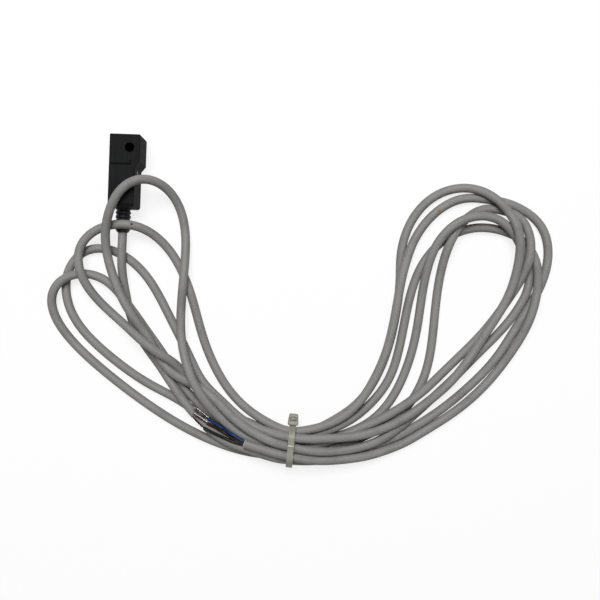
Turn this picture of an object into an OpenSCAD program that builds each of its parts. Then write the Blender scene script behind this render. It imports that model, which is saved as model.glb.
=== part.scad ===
// Cylinder sensor switch: a small moulded head for one M3 screw, with 2.5 m of
// three-core lead gathered into loops and held by a cable tie.
// The origin is the axis of the screw hole on the back face; +Y points away
// from the cable, +Z out of the front face. Millimetres.

/* [Screw lug] */
// Diameter of the clearance hole for an M3 screw
hole_d = 3.3; // [2.4:0.1:4.2]
// From the hole axis to the plain side of the head
side_to_hole = 7.3; // [5:0.1:10]
// From the hole axis to the free end of the head
end_to_hole = 4.8; // [3.5:0.1:8]
// How far the lug stands out from the slim body
lug_step = 1.6; // [0.5:0.1:4]
// Length of the lug's straight side
lug_length = 10; // [7:0.5:14]
// Length of the slope from the lug to the slim body
lug_slope = 2; // [0.5:0.1:4]

/* [Housing] */
// Width of the slim body
body_w = 9.45; // [8:0.05:14]
// Length of the head
body_l = 26.1; // [22:0.1:40]
// Height of the head from back to front
body_h = 12.5; // [10:0.5:16]
// Thickness of the side walls
wall = 1; // [0.6:0.1:1.6]
// Thickness of the front wall
front_wall = 1.2; // [0.8:0.1:2]
// Thickness of the wall at the cable end
end_wall = 1.2; // [0.8:0.1:2]
// Material left between the screw hole and the pocket
hole_web = 2.4; // [1.5:0.1:4]
// Radius of the upright corners at the cable end
corner_r = 1; // [0.3:0.1:2]
// Radius of the upright corners at the free end
end_corner_r = 0.5; // [0.2:0.1:1.5]
// Bevel of the front edges
edge_bevel = 0.35; // [0.1:0.05:0.8]
// Bevel of the front edge at the cable end
cable_bevel = 1.2; // [0.4:0.1:2.5]
// Depth of the resin's surface below the back face
resin_recess = 0.2; // [0.1:0.1:0.8]

/* [Front groove] */
// Width of the groove in the front face
groove_w = 0.5; // [0.2:0.1:1]
// Depth of the groove
groove_depth = 0.3; // [0.1:0.1:0.8]
// Length of the groove's long leg
groove_l = 6.6; // [3:0.1:8]
// Length of the groove's short leg
groove_rise = 1.6; // [0.8:0.1:3]
// From the hole axis to the groove's long leg
groove_to_hole = 6; // [4:0.1:9]
// From the plain side to the start of the long leg
groove_margin = 0.9; // [0.5:0.1:2]

/* [Circuit] */
// Thickness of the circuit board
board_t = 0.8; // [0.4:0.1:1.6]
// Gap between the board and the side walls
board_gap = 0.4; // [0.2:0.1:1]
// Length of the circuit board
board_l = 12.6; // [10:0.1:20]
// Height of the board's back surface above the back face
board_z = 5.8; // [5:0.1:7]
// Size of the magnetic sensing chip
chip_size = [3, 2.9, 1.1];
// Size of the output transistor's body
transistor_size = [2.9, 1.3, 1];
// Size of the surge diode
diode_size = [1.4, 2.6, 1];
// Size of the series resistor
resistor_size = [1.25, 2, 0.5];
// Size of the filter capacitor
capacitor_size = [1.25, 2, 0.9];
// Size of the indicator lamp
lamp_size = [1.4, 1.8, 1.8];
// Diameter of the indicator window
window_d = 1.6; // [1:0.1:2.4]
// From the hole axis to the indicator window
window_to_hole = 8.5; // [8:0.1:12]
// Size of a solder joint
solder_size = [1.3, 1.4, 1.2];
// Distance between solder joints
solder_pitch = 1.8; // [1.4:0.1:1.8]

/* [Strain relief] */
// Outside diameter of the strain relief boot
boot_d = 5.6; // [4.6:0.1:6]
// Length of the boot outside the housing
boot_l = 9.3; // [6:0.1:16]
// From the plain side of the head to the cable's axis
boot_to_side = 3.9; // [3.4:0.1:6]
// Height of the cable's axis above the back face
boot_z = 3.2; // [3.1:0.1:6]
// Distance between the boot's ring grooves
ring_pitch = 1.55; // [1:0.05:3]
// Number of ring grooves
ring_count = 5; // [2:1:6]
// Depth of a ring groove
ring_depth = 0.35; // [0.1:0.05:0.6]
// Width of a ring groove
ring_w = 0.5; // [0.2:0.1:0.8]
// Length of the boot's tapered end
boot_taper = 1.3; // [0.5:0.1:3]
// Diameter of the boot's neck in the housing wall
neck_d = 4.6; // [4:0.1:5]
// Diameter of the boot's flange inside the housing
flange_d = 5.4; // [4.8:0.1:6]
// Thickness of the boot's flange
flange_t = 0.8; // [0.4:0.1:1.2]

/* [Cable] */
// Outside diameter of the cable
cable_d = 3.3; // [3:0.05:3.6]
// Outside diameter of one insulated core
core_d = 1.1; // [0.8:0.05:1.2]
// Diameter of the bare copper strands of one core, twisted
strand_d = 0.7; // [0.4:0.05:0.8]
// Distance of a core's centre from the cable's axis
core_ring = 0.66; // [0.6:0.01:0.75]

/* [Cable tie] */
// Width of the tie's strap
tie_w = 2.5; // [2:0.1:3.6]
// Thickness of the tie's strap
tie_t = 1.1; // [0.8:0.1:1.4]
// Size of the tie's head
tie_head = [3.5, 3.9, 4.4];
// Clearance between the strap and the cable
tie_gap = 0.05; // [0.02:0.01:0.2]
// Clearance of the strap above the surface
tie_lift = 0.05; // [0:0.01:0.2]

/* [Colours] */
// Colour of the head and the boot
head_colour = [0.15, 0.155, 0.165];
// Colour of the resin
resin_colour = [0.1, 0.1, 0.1];
// Colour of the cable's jacket
jacket_colour = [0.55, 0.545, 0.52];
// Colour of the tie
tie_colour = [0.72, 0.73, 0.62];
// Colour of the copper
copper_colour = [0.78, 0.55, 0.4];

/* [Hidden] */
$fn = 48;
eps = 0.01;
cable_r = cable_d / 2;

left_x = -side_to_hole;
right_x = left_x + body_w;
lug_x = right_x + lug_step;
top_y = end_to_hole;
low_y = top_y - body_l;
lug_y = top_y - lug_length;

pocket_x = left_x + wall;
pocket_w = body_w - 2 * wall;
pocket_top = -(hole_d / 2 + hole_web);
pocket_low = low_y + end_wall;
pocket_h = body_h - front_wall;

axis_x = left_x + boot_to_side;

board_x = pocket_x + board_gap;
board_w = pocket_w - 2 * board_gap;
board_top = pocket_top - board_gap;
board_low = board_top - board_l;
board_mid = board_x + board_w / 2;
board_front = board_z + board_t;
window_z = board_front + lamp_size[2] / 2;

lead_in = pocket_low + flange_t + 0.2;
joint_y = board_low + 1.2;
joint_z = board_z - solder_size[2];
inner_run = 0.35 * (joint_y - lead_in);
outer_run = 0.6;

chip_y = board_top - 2.5;
transistor_x = board_mid - 0.6;
transistor_y = board_low + 2.2;
left_part_x = board_x + 1.2;
right_part_x = board_x + 3.2;
pair_y = board_low + 5.2;
capacitor_y = board_low + 8.6;
lamp_x = right_x - wall - 0.1 - lamp_size[0] / 2;

boot_end_d = cable_d + 0.5;
first_ring = 0.7;

// The cable's centre line, by hand, at every bend. Each loop leaves the tie
// and comes back to it. The heights follow what lies under the cable.
low = 1.65;
lead = [
    [axis_x, lead_in, boot_z], [axis_x, low_y - boot_l, boot_z], [-3, -36, 5.1], [-3, -42, 5.1],
    [-2.8, -46.5, low], [-2.3, -50, low], [0, -58.5, low], [3, -66.5, low], [7.5, -74, low],
    [13.5, -81, 2.5], [20, -90, 5], [26.5, -96.5, 4.5], [34.5, -104.5, 4.5], [46, -109, 5],
    [53, -110.5, 5.5]
];
left_1 = [
    [51, -106.5, 5], [42, -102, 5.5], [34, -95.5, 7], [29, -90, 8], [25, -83.5, 8], [22, -75, 5],
    [19.5, -65.5, 5], [19.5, -56, 5.5], [20.5, -44, 6.5], [21, -34, 8], [20.5, -25.5, 10],
    [17.5, -18, 12.5], [13, -13, 14.3], [7, -11.5, 14.4], [0.5, -13.5, 14.4], [-4.5, -19, 14.5],
    [-7.5, -25.5, 13], [-8.5, -32.5, 10], [-7, -40.5, 7.5], [-3.5, -49.5, 5.5], [1, -56.5, 5],
    [6.5, -65, 5], [13.5, -74, 5], [21.5, -82, 5], [30, -87.5, 6], [38.5, -95, 8], [49.5, -102.5, 9]
];
left_2 = [
    [49.5, -104, 2], [38, -99, low], [27.5, -93, low], [16.5, -84, low], [7.5, -73.5, 2.5],
    [2.5, -63.5, 4], [-2, -55.5, 3.5], [-7.5, -49.5, low], [-14.5, -46, 2], [-22, -46.5, 4.5],
    [-27.5, -50, 3.5], [-29.5, -57, low], [-26.5, -66, low], [-18.5, -74.5, low], [-6.5, -83.5, low],
    [7, -93, low], [21.5, -101, low], [36, -107.5, low], [49.5, -111, low]
];
left_3 = [
    [48.5, -105.5, 3.5], [35, -101, low], [21.5, -92.5, low], [7, -85, low], [-7, -76, low],
    [-17.5, -66.5, low], [-23.5, -56, low], [-23.5, -44.5, low], [-19.5, -38.5, low], [-13, -36, low],
    [-5.5, -37.5, low], [3.5, -42.5, low], [9.5, -50, low], [16, -62, low], [23, -74.5, low],
    [29.5, -86, 3], [38, -94.5, 5.5], [47.5, -99.5, 8]
];
left_4 = [
    [50.5, -101.5, 2], [38.5, -96.5, low], [28.5, -89, 2], [19, -81, 4], [9.5, -74, 5], [0, -65.5, 5],
    [-8.5, -58.5, 5], [-15.5, -50.5, 5], [-18.5, -43.5, 5], [-19, -37.5, 5.2], [-17, -33, 5.6],
    [-11.5, -29, 6.8], [-4.5, -27.5, 7.8], [3.5, -28, 7.2], [10, -32, 5], [16, -38, 3], [20, -46, low],
    [23.5, -55, low], [26.5, -65, low], [30.5, -75, low], [37, -86, low], [45.5, -94.5, 3],
    [53.5, -98.5, 4.5]
];
right_1 = [
    [76.5, -110.5, 5], [90.5, -107, 2.5], [104.5, -100.5, low], [118, -92, low], [129, -82, low],
    [137.5, -72.5, low], [143.5, -61, low], [149.5, -50.5, low], [153.5, -42, low], [155, -32, low],
    [153, -23.5, low], [146.5, -17, low], [137, -14, low], [127, -12.5, low], [118.5, -14.5, low],
    [111, -20, 2], [104.5, -30, 3.5], [101, -39.5, 4.5], [99.5, -50.5, 5], [98, -59.5, 5],
    [96, -70, 5], [91.5, -81, 5], [85, -91, 5], [75, -97.5, 5]
];
right_2 = [
    [75.5, -107.5, 8.5], [88.5, -105.5, 6], [100.5, -101, 4], [109.5, -91.5, 2], [119, -82.5, low],
    [129, -70.5, low], [138, -61, low], [144.5, -52, low], [148, -44.5, 2], [147.5, -36, 4],
    [144, -28, 5], [137, -21.5, 5.5], [128.5, -19.5, 7], [120.5, -22.5, 7.5], [114.5, -28, 5],
    [111, -36, 3.5], [109, -45.5, 2], [108, -54.5, low], [107, -63, low], [104.5, -72.5, low],
    [101, -82, low], [96, -91, low], [88.5, -97.5, low], [77, -103, 2]
];
right_3 = [
    [75.5, -107, 2], [89.5, -102, low], [102, -94, low], [109.5, -82.5, low], [112.5, -70, low],
    [113.5, -57.5, low], [114.5, -45.5, low], [116, -36.5, 3], [119, -27, 5], [126, -19.5, 4],
    [134.5, -15.5, 4.5], [142, -17.5, 5.5], [145.5, -24, 7.5], [146.5, -31.5, 8], [145.5, -37, 7.5],
    [142.5, -45.5, 5], [138, -54, 2.5], [131, -63.5, low], [121, -73.5, 3], [109.5, -85, 5],
    [96.5, -94, 5], [78, -103, 5]
];
right_4 = [
    [73, -103, 8.5], [86, -101.5, 8.5], [99, -97, 8], [110, -89, 8], [119.5, -80.5, 6],
    [127.5, -70.5, 5], [134.5, -58.5, 5], [139.5, -47, 5.5], [142, -36.5, 7.5], [142, -28, 8],
    [139.5, -20.5, 8], [134, -14, 8], [127, -10, 6], [119, -10, 4.5], [110.5, -13.5, 3.5],
    [104, -21.5, 2.5], [100.5, -32, 2], [100, -43.5, low], [99, -53, low], [98, -63.5, low],
    [95, -74.5, low], [89.5, -85.5, low], [81.5, -94, low], [71.5, -100, 2]
];
right_5 = [
    [73.5, -99.5, 6.5], [83, -96, 6.5], [90.5, -89, 5.5], [96.5, -80.5, 3], [100, -70.5, low],
    [102.5, -59.5, low], [104.5, -48.5, low], [107.5, -38.5, low], [113.5, -30, low],
    [122, -24.5, low], [131, -23.5, low], [140, -25.5, low], [147.5, -31.5, 2.5], [151, -39.5, 5],
    [151, -48.5, 5], [148, -60, 3], [141, -72.5, low], [130.5, -85, low], [118, -95, low],
    [104, -103, 3], [88, -108.5, 6], [74, -110.5, 8]
];
// How far the lead and the two top loops run as free cable before they join
// the gathered loops: the first and the last point of each.
lead_end = 5;
over_head = [5, 21];
over_boot = [5, 17];
// The point at which each loop turns back.
left_2_turn = 10;
left_3_turn = 8;
right_1_turn = 11;
right_2_turn = 11;
right_3_turn = 10;
right_4_turn = 11;
right_5_turn = 12;
// Where four of the loops begin or stop lying on other runs.
left_4_high = 20;
right_1_high = 16;
right_3_high = 8;
right_4_high = 13;

tie_at = [61.7, -106.5];
tie_turn = -2.5;
gather_l = [11.5, 13];
pitch = cable_d + 0.2;
row_h = pitch * sin(60);
row_z = tie_lift + tie_t + tie_gap + cable_r;
top_z = row_z + 2 * row_h;
tail_y = -1.05;

function unit(v) = v / norm(v);

// Direction of a route at one of its points, from the points on either side.
function heading(route, i) =
    unit(route[min(i + 1, len(route) - 1)] - route[max(i - 1, 0)]);

function level(v) = unit([v[0], v[1], 0]);

// A ring of points around a route's point, square to its direction. It stands
// upright where the tube ends, so that two tubes meet face to face.
function ring(route, i, r, sides, upright) =
    let (
        along = upright ? level(heading(route, i)) : heading(route, i),
        across = unit(cross(along, [0, 0, 1])),
        up = cross(across, along)
    )
    [for (k = [0:sides - 1]) route[i] + r * (cos(360 * (k + 0.5) / sides) * across
        + sin(360 * (k + 0.5) / sides) * up)];

// Corners of a polygon, each rounded with its own radius.
function rounded(corners, radii, steps = 6) = [
    for (i = [0:len(corners) - 1])
        let (
            n = len(corners),
            here = corners[i],
            back = unit(corners[(i + n - 1) % n] - here),
            ahead = unit(corners[(i + 1) % n] - here),
            half = acos(back * ahead) / 2,
            start = here + back * radii[i] / tan(half),
            centre = here + unit(back + ahead) * radii[i] / sin(half),
            from = atan2(start[1] - centre[1], start[0] - centre[0]),
            turn = 180 - 2 * half,
            side = (ahead[0] * back[1] - ahead[1] * back[0]) > 0 ? 1 : -1
        )
        if (radii[i] <= 0) here
        else for (k = [0:steps]) centre + radii[i] * [cos(from + side * turn * k / steps),
            sin(from + side * turn * k / steps)]
];

// A tube swept along the points first to last of a route.
module tube(route, first, last, d, sides = 8) {
    rings = [for (i = [first:last]) ring(route, i, d / 2, sides, i == first || i == last)];
    count = len(rings);
    polyhedron(
        points = [for (r = rings) each r],
        faces = [
            [for (k = [0:sides - 1]) k],
            [for (k = [sides - 1:-1:0]) (count - 1) * sides + k],
            for (i = [0:count - 2]) for (k = [0:sides - 1])
                [i * sides + k, (i + 1) * sides + k, (i + 1) * sides + (k + 1) % sides],
            for (i = [0:count - 2]) for (k = [0:sides - 1])
                [i * sides + k, (i + 1) * sides + (k + 1) % sides, i * sides + (k + 1) % sides]
        ]
    );
}

// A flat band as wide as the cable, along the points first to last of a route.
module band(route, first, last) {
    flat = [for (p = route) [p[0], p[1]]];
    side = [for (i = [first:last]) let (h = heading(flat, i)) cable_r * [-h[1], h[0]]];
    polygon(concat(
        [for (i = [first:last]) flat[i] + side[i - first]],
        [for (i = [last:-1:first]) flat[i] - side[i - first]]
    ));
}

// Both halves of a loop as bands, so that neither crosses itself.
module loop_bands(route, middle) {
    band(route, 0, middle);
    band(route, middle, len(route) - 1);
}

module at_cable_axis() {
    translate([axis_x, 0, boot_z])
        rotate([90, 0, 0])
            children();
}

module at_tie() {
    translate([tie_at[0], tie_at[1], 0])
        rotate([0, 0, tie_turn])
            rotate([90, 0, 90])
                children();
}

// Section of the gathered cable under the tie: three, four and three runs.
module gather_section(grow) {
    hull()
        for (row = [0:2])
            for (side = [-1, 1])
                translate([side * pitch * (row == 1 ? 1.5 : 1), row_z + row * row_h])
                    circle(r = cable_r + grow, $fn = 24);
}

module head_outline() {
    polygon(rounded(
        [[left_x, low_y], [right_x, low_y], [right_x, lug_y - lug_slope], [lug_x, lug_y],
            [lug_x, top_y], [left_x, top_y]],
        [corner_r, corner_r, 0, 0, end_corner_r, end_corner_r]
    ));
}

// A triangular bar that bevels a straight front edge, from p to q.
module edge_cutter(p, q, size) {
    step = q - p;
    translate([p[0], p[1], body_h])
        rotate([0, 0, atan2(step[1], step[0])])
            rotate([45, 0, 0])
                translate([-eps, -size / sqrt(2), -size / sqrt(2)])
                    cube([norm(step) + 2 * eps, size * sqrt(2), size * sqrt(2)]);
}

module housing() {
    color(head_colour)
        difference() {
            linear_extrude(body_h)
                head_outline();
            edge_cutter([left_x, low_y], [left_x, top_y], edge_bevel);
            edge_cutter([left_x, top_y], [lug_x, top_y], edge_bevel);
            edge_cutter([lug_x, top_y], [lug_x, lug_y], edge_bevel);
            edge_cutter([right_x, lug_y - lug_slope], [right_x, low_y], edge_bevel);
            edge_cutter([left_x, low_y], [right_x, low_y], cable_bevel);
            translate([0, 0, -eps])
                cylinder(d = hole_d, h = body_h + 2 * eps);
            translate([pocket_x, pocket_low, -eps])
                cube([pocket_w, pocket_top - pocket_low, pocket_h + eps]);
            at_cable_axis()
                translate([0, 0, -pocket_low - eps])
                    cylinder(d = neck_d, h = end_wall + 2 * eps);
            translate([right_x - wall - eps, -window_to_hole, window_z])
                rotate([0, 90, 0])
                    cylinder(d = window_d, h = wall + 2 * eps);
            translate([left_x + groove_margin, -groove_to_hole - groove_w / 2, body_h - groove_depth])
                cube([groove_l, groove_w, groove_depth + eps]);
            translate([left_x + groove_margin + groove_l, -groove_to_hole - groove_w / 2,
                body_h - groove_depth])
                cube([groove_w, groove_rise, groove_depth + eps]);
        }
}

module board_piece(size, x, y, front) {
    translate([x - size[0] / 2, y - size[1] / 2, front ? board_front : board_z - size[2]])
        cube(size);
}

module circuit_board() {
    color([0.1, 0.35, 0.2])
        translate([board_x, board_low, board_z])
            cube([board_w, board_l, board_t]);
}

module sensing_chip() {
    color([0.12, 0.12, 0.13])
        board_piece(chip_size, board_mid, chip_y, false);
}

module output_transistor() {
    color([0.12, 0.12, 0.13])
        board_piece(transistor_size, transistor_x, transistor_y, true);
}

module surge_diode() {
    color([0.16, 0.15, 0.15])
        board_piece(diode_size, left_part_x, pair_y, true);
}

module series_resistor() {
    color([0.2, 0.2, 0.22])
        board_piece(resistor_size, right_part_x, pair_y, true);
}

module filter_capacitor() {
    color([0.62, 0.5, 0.36])
        board_piece(capacitor_size, left_part_x, capacitor_y, true);
}

module indicator_lamp() {
    color([0.85, 0.85, 0.7])
        board_piece(lamp_size, lamp_x, -window_to_hole, true);
}

// The window's inner end rests on the lamp.
module indicator_window() {
    color([0.75, 0.8, 0.5])
        translate([right_x - wall - 0.1, -window_to_hole, window_z])
            rotate([0, 90, 0])
                cylinder(d = window_d, h = wall + 0.1);
}

module solder_joints() {
    color([0.75, 0.76, 0.78])
        for (k = [-1:1])
            translate([axis_x + k * solder_pitch - solder_size[0] / 2, joint_y, joint_z])
                cube(solder_size);
}

// One core from the end of the jacket to its solder joint.
module core_inner(k) {
    start = [axis_x + core_ring * cos(90 - 120 * k), lead_in, boot_z + core_ring * sin(90 - 120 * k)];
    finish = [axis_x + k * solder_pitch, joint_y, board_z - core_d / 2 - 0.25];
    path = [start, start + [0, inner_run, 0], finish - [0, inner_run, 0], finish];
    tube(path, 0, len(path) - 1, core_d);
}

module blue_core_inner() {
    color([0.1, 0.3, 0.7])
        core_inner(1);
}

module brown_core_inner() {
    color([0.35, 0.2, 0.12])
        core_inner(0);
}

module black_core_inner() {
    color([0.05, 0.05, 0.05])
        core_inner(-1);
}

// The resin leaves a small space where the cores fan out to their joints.
module core_space() {
    half_w = solder_pitch + core_d;
    low_z = boot_z - core_ring - core_d;
    translate([axis_x - half_w, lead_in, low_z])
        cube([2 * half_w, joint_y - lead_in, board_z - low_z]);
}

module potting_fill() {
    color(resin_colour)
        difference() {
            translate([pocket_x, pocket_low, resin_recess])
                cube([pocket_w, pocket_top - pocket_low, pocket_h - resin_recess]);
            circuit_board();
            sensing_chip();
            output_transistor();
            surge_diode();
            series_resistor();
            filter_capacitor();
            indicator_lamp();
            indicator_window();
            solder_joints();
            core_space();
            at_cable_axis() {
                translate([0, 0, -pocket_low - flange_t])
                    cylinder(d = flange_d, h = flange_t + eps);
                translate([0, 0, -lead_in])
                    cylinder(d = cable_d, h = lead_in - pocket_low);
            }
        }
}

// The boot around the cable: a flange inside the wall, a neck through it, and
// a ringed sleeve outside with a tapered end.
module strain_relief_boot() {
    color(head_colour)
        at_cable_axis()
            translate([0, 0, -low_y])
                difference() {
                    union() {
                        cylinder(d = boot_d, h = boot_l - boot_taper);
                        translate([0, 0, boot_l - boot_taper])
                            cylinder(d1 = boot_d, d2 = boot_end_d, h = boot_taper);
                        translate([0, 0, -end_wall - eps])
                            cylinder(d = neck_d, h = end_wall + 2 * eps);
                        translate([0, 0, -end_wall - flange_t])
                            cylinder(d = flange_d, h = flange_t);
                    }
                    translate([0, 0, -end_wall - flange_t - eps])
                        cylinder(d = cable_d, h = boot_l + end_wall + flange_t + 2 * eps);
                    for (k = [0:ring_count - 1])
                        translate([0, 0, first_ring + k * ring_pitch - ring_w / 2])
                            difference() {
                                cylinder(d = boot_d + 1, h = ring_w);
                                translate([0, 0, -eps])
                                    cylinder(d = boot_d - 2 * ring_depth, h = ring_w + 2 * eps);
                            }
                }
}

module sensor_lead() {
    color(jacket_colour)
        tube(lead, 0, lead_end, cable_d);
}

module cable_over_head() {
    color(jacket_colour)
        tube(left_1, over_head[0], over_head[1], cable_d);
}

module cable_over_boot() {
    color(jacket_colour)
        tube(left_4, over_boot[0], over_boot[1], cable_d);
}

// The gathered loops: one run high, or two where runs lie on each other.
module cable_hank() {
    color(jacket_colour) {
        linear_extrude(cable_d) {
            band(lead, lead_end, len(lead) - 1);
            loop_bands(left_2, left_2_turn);
            loop_bands(left_3, left_3_turn);
            band(left_4, over_boot[1], len(left_4) - 1);
            loop_bands(right_1, right_1_turn);
            loop_bands(right_2, right_2_turn);
            loop_bands(right_3, right_3_turn);
            loop_bands(right_4, right_4_turn);
            loop_bands(right_5, right_5_turn);
        }
        linear_extrude(2 * cable_d) {
            band(left_1, 0, over_head[0]);
            band(left_1, over_head[1], len(left_1) - 1);
            band(left_4, 0, over_boot[0]);
            band(left_4, left_4_high, len(left_4) - 1);
            band(right_1, right_1_high, len(right_1) - 1);
            band(right_3, right_3_high, len(right_3) - 1);
            band(right_4, 0, right_4_high);
        }
        at_tie()
            translate([0, 0, -gather_l[0]])
                linear_extrude(gather_l[0] + gather_l[1])
                    gather_section(0);
    }
}

// A point given along the gathered cable, across it and above the surface.
function from_tie(v) = [
    tie_at[0] + v[0] * cos(tie_turn) - v[1] * sin(tie_turn),
    tie_at[1] + v[0] * sin(tie_turn) + v[1] * cos(tie_turn),
    v[2]
];

// The cut end lies on the top row of the tie and leaves it to the left.
tail = [
    from_tie([-gather_l[0], tail_y, top_z]), from_tie([-gather_l[0] - 2.5, tail_y, top_z]),
    [44.4, -105.8, 8.7]
];

module cable_tail() {
    color(jacket_colour)
        tube(tail, 0, len(tail) - 1, cable_d);
}

// A core from its place in the cut end to the end of its insulation, and on
// to the tip of its bare strands.
function core_route(k, middle, finish, tip) =
    let (
        cut = tail[len(tail) - 1],
        along = level(heading(tail, len(tail) - 1)),
        across = unit(cross(along, [0, 0, 1])),
        up = cross(across, along),
        root = cut + core_ring * (cos(90 - 120 * k) * across + sin(90 - 120 * k) * up)
    )
    [root, root + outer_run * along, middle, finish, tip];

blue_route = core_route(1, [38.2, -101.4, 7.6], [31.3, -97.3, 7.2], [26.1, -93.5, 6.8]);
brown_route = core_route(0, [37.5, -103.2, 7.8], [31, -99.1, 7.2], [25.3, -95.4, 6.8]);
black_route = core_route(-1, [37.3, -104.9, 7.6], [29.9, -101.3, 7.2], [25, -97, 6.8]);

module core_end(route) {
    tube(route, 0, len(route) - 2, core_d);
}

module strands(route) {
    tube(route, len(route) - 2, len(route) - 1, strand_d);
}

module blue_core_end() {
    color([0.1, 0.3, 0.7])
        core_end(blue_route);
}

module brown_core_end() {
    color([0.35, 0.2, 0.12])
        core_end(brown_route);
}

module black_core_end() {
    color([0.05, 0.05, 0.05])
        core_end(black_route);
}

module blue_strands() {
    color(copper_colour)
        strands(blue_route);
}

module brown_strands() {
    color(copper_colour)
        strands(brown_route);
}

module black_strands() {
    color(copper_colour)
        strands(black_route);
}

module cable_tie() {
    head_y = pitch * 1.5 + cable_r + tie_gap;
    color(tie_colour)
        at_tie()
            translate([0, 0, -tie_w / 2])
                difference() {
                    union() {
                        linear_extrude(tie_w)
                            gather_section(tie_gap + tie_t);
                        translate([head_y, row_z + row_h - tie_head[2] / 2, (tie_w - tie_head[0]) / 2])
                            cube([tie_head[1], tie_head[2], tie_head[0]]);
                    }
                    translate([0, 0, -tie_head[0]])
                        linear_extrude(tie_w + 2 * tie_head[0])
                            gather_section(tie_gap);
                }
}

housing();
potting_fill();
circuit_board();
sensing_chip();
output_transistor();
surge_diode();
series_resistor();
filter_capacitor();
indicator_lamp();
indicator_window();
solder_joints();
blue_core_inner();
brown_core_inner();
black_core_inner();
strain_relief_boot();
sensor_lead();
cable_over_head();
cable_over_boot();
cable_hank();
cable_tail();
blue_core_end();
brown_core_end();
black_core_end();
blue_strands();
brown_strands();
black_strands();
cable_tie();
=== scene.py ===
"""Cylinder sensor switch, dressed: its looped lead, cut end, cable tie, boot and moulded head.

Lengths are in metres unless said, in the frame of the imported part. The origin is
the axis of the screw hole on the back face, +Y points away from the cable and +Z out of
the front face.
"""

import math

import bmesh
import bpy
import numpy as np
from bpy.props import FloatProperty, FloatVectorProperty, IntProperty, PointerProperty
from bpy.types import Operator, Panel, PropertyGroup
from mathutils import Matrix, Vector


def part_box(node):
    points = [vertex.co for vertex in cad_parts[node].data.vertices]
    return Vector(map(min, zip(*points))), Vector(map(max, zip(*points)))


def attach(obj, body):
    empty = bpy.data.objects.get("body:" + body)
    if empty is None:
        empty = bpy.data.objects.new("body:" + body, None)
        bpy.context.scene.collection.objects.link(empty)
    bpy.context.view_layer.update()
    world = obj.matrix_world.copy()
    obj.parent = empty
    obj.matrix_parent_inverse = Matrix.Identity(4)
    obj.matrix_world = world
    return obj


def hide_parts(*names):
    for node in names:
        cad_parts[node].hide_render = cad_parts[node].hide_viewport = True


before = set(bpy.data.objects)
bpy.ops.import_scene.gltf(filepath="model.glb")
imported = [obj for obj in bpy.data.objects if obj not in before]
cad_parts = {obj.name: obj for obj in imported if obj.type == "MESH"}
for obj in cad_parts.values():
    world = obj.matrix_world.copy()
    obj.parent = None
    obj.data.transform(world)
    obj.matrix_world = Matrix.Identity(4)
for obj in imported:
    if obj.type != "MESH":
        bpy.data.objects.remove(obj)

bl_info = {
    "name": "Cylinder sensor switch",
    "version": (1, 0, 0),
    "blender": (4, 5, 0),
    "location": "3D View > Sidebar > Sensor switch",
    "description": "Lays the looped lead and finishes the head, boot, cut end and cable tie",
    "category": "Add Mesh",
}

CABLE_R = 0.00165
CABLE_AXIS = (-0.0034, 0.0032)
HEAD_LOW, HEAD_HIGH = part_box("housing")
BOOT_END = -0.0306
BOOT_R = 0.0028
HOLE_R = 0.0018

# The lead's route, in millimetres: out of the boot, then ten times
# through the tie, in five loops to the right and four to the left, and a short
# tail. A point without a height lies on the floor.
LEAD = [
    (-3.4, -19.1, 3.2), (-3.4, -30.6, 3.2), (-3, -36, 5.1), (-3, -42, 5.1), (-3, -46.5), (-2.5, -50),
    (0, -58.5), (3, -66.5), (7.5, -74), (14, -80.5, 2.5), (20, -90, 5), (26.5, -96.5, 4.5),
    (34.5, -104.5, 4.5), (46, -108.5, 5), (53, -110, 5.5),
]
LEFT_1 = [
    (51, -106.5, 5), (42, -102, 5.5), (34, -95.5, 7), (29, -90, 8), (25, -83.5, 8), (21.5, -75, 5),
    (19.5, -65.5, 5), (19.5, -56, 5.5), (20, -44, 6.5), (20, -34, 8), (19, -26, 10),
    (16.5, -18.5, 12.5), (12.5, -13, 14.3), (7, -11, 14.4), (0.5, -13, 14.4), (-4, -19, 14.5),
    (-7, -25.5, 13), (-8.5, -32.5, 10), (-7.5, -40.5, 7.5), (-4, -49.5, 6.5), (-0.5, -56.5, 8),
    (5.5, -65.5, 6.5), (12.5, -74.5, 5), (20.5, -83, 5), (30, -87.5, 6), (38.5, -95, 8),
    (49.5, -102.5, 9),
]
LEFT_2 = [
    (49.5, -104, 2), (38, -99), (27.5, -93), (22.5, -89), (16.5, -80), (10, -71.5), (6, -65.5, 2.5),
    (2, -61, 4.5), (-1, -56, 4.5), (-3, -53, 2.5), (-7, -49.5), (-14.5, -46, 2), (-22, -46.5, 4.5),
    (-27, -50.5, 3.5), (-29, -57), (-25.5, -65.5), (-18, -74), (-6.5, -83.5), (7, -93), (21.5, -101.5),
    (36, -107.5), (49.5, -110.5),
]
LEFT_3 = [
    (48.5, -105.5, 3.5), (35, -101), (21.5, -92.5), (7, -85.5), (-7, -76), (-17.5, -66.5), (-23.5, -56),
    (-23, -44.5), (-19.5, -38.5), (-13, -36), (-5.5, -37.5), (3, -43), (9, -50.5), (15.5, -62),
    (22.5, -74.5), (29, -86.5, 3), (37.5, -95, 5.5), (47.5, -100, 8),
]
LEFT_4 = [
    (50.5, -101.5, 2), (38.5, -96.5), (28.5, -89, 2), (23.5, -84.5, 4.5), (14.5, -77, 8),
    (7.5, -70.5, 8), (0, -65, 6.5), (-8.5, -58.5, 5), (-15.5, -50.5, 5), (-18.5, -43.5, 5),
    (-19, -37.5, 5.2), (-17, -33, 5.6), (-11.5, -29.5, 6.8), (-4.5, -27.5, 7.8), (3.5, -28, 7.2),
    (10, -32, 5), (15.5, -38, 3), (20, -46), (23.5, -55), (26.5, -65), (30.5, -75), (37, -86),
    (45.5, -94.5, 3), (53.5, -98.5, 4.5),
]
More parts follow.
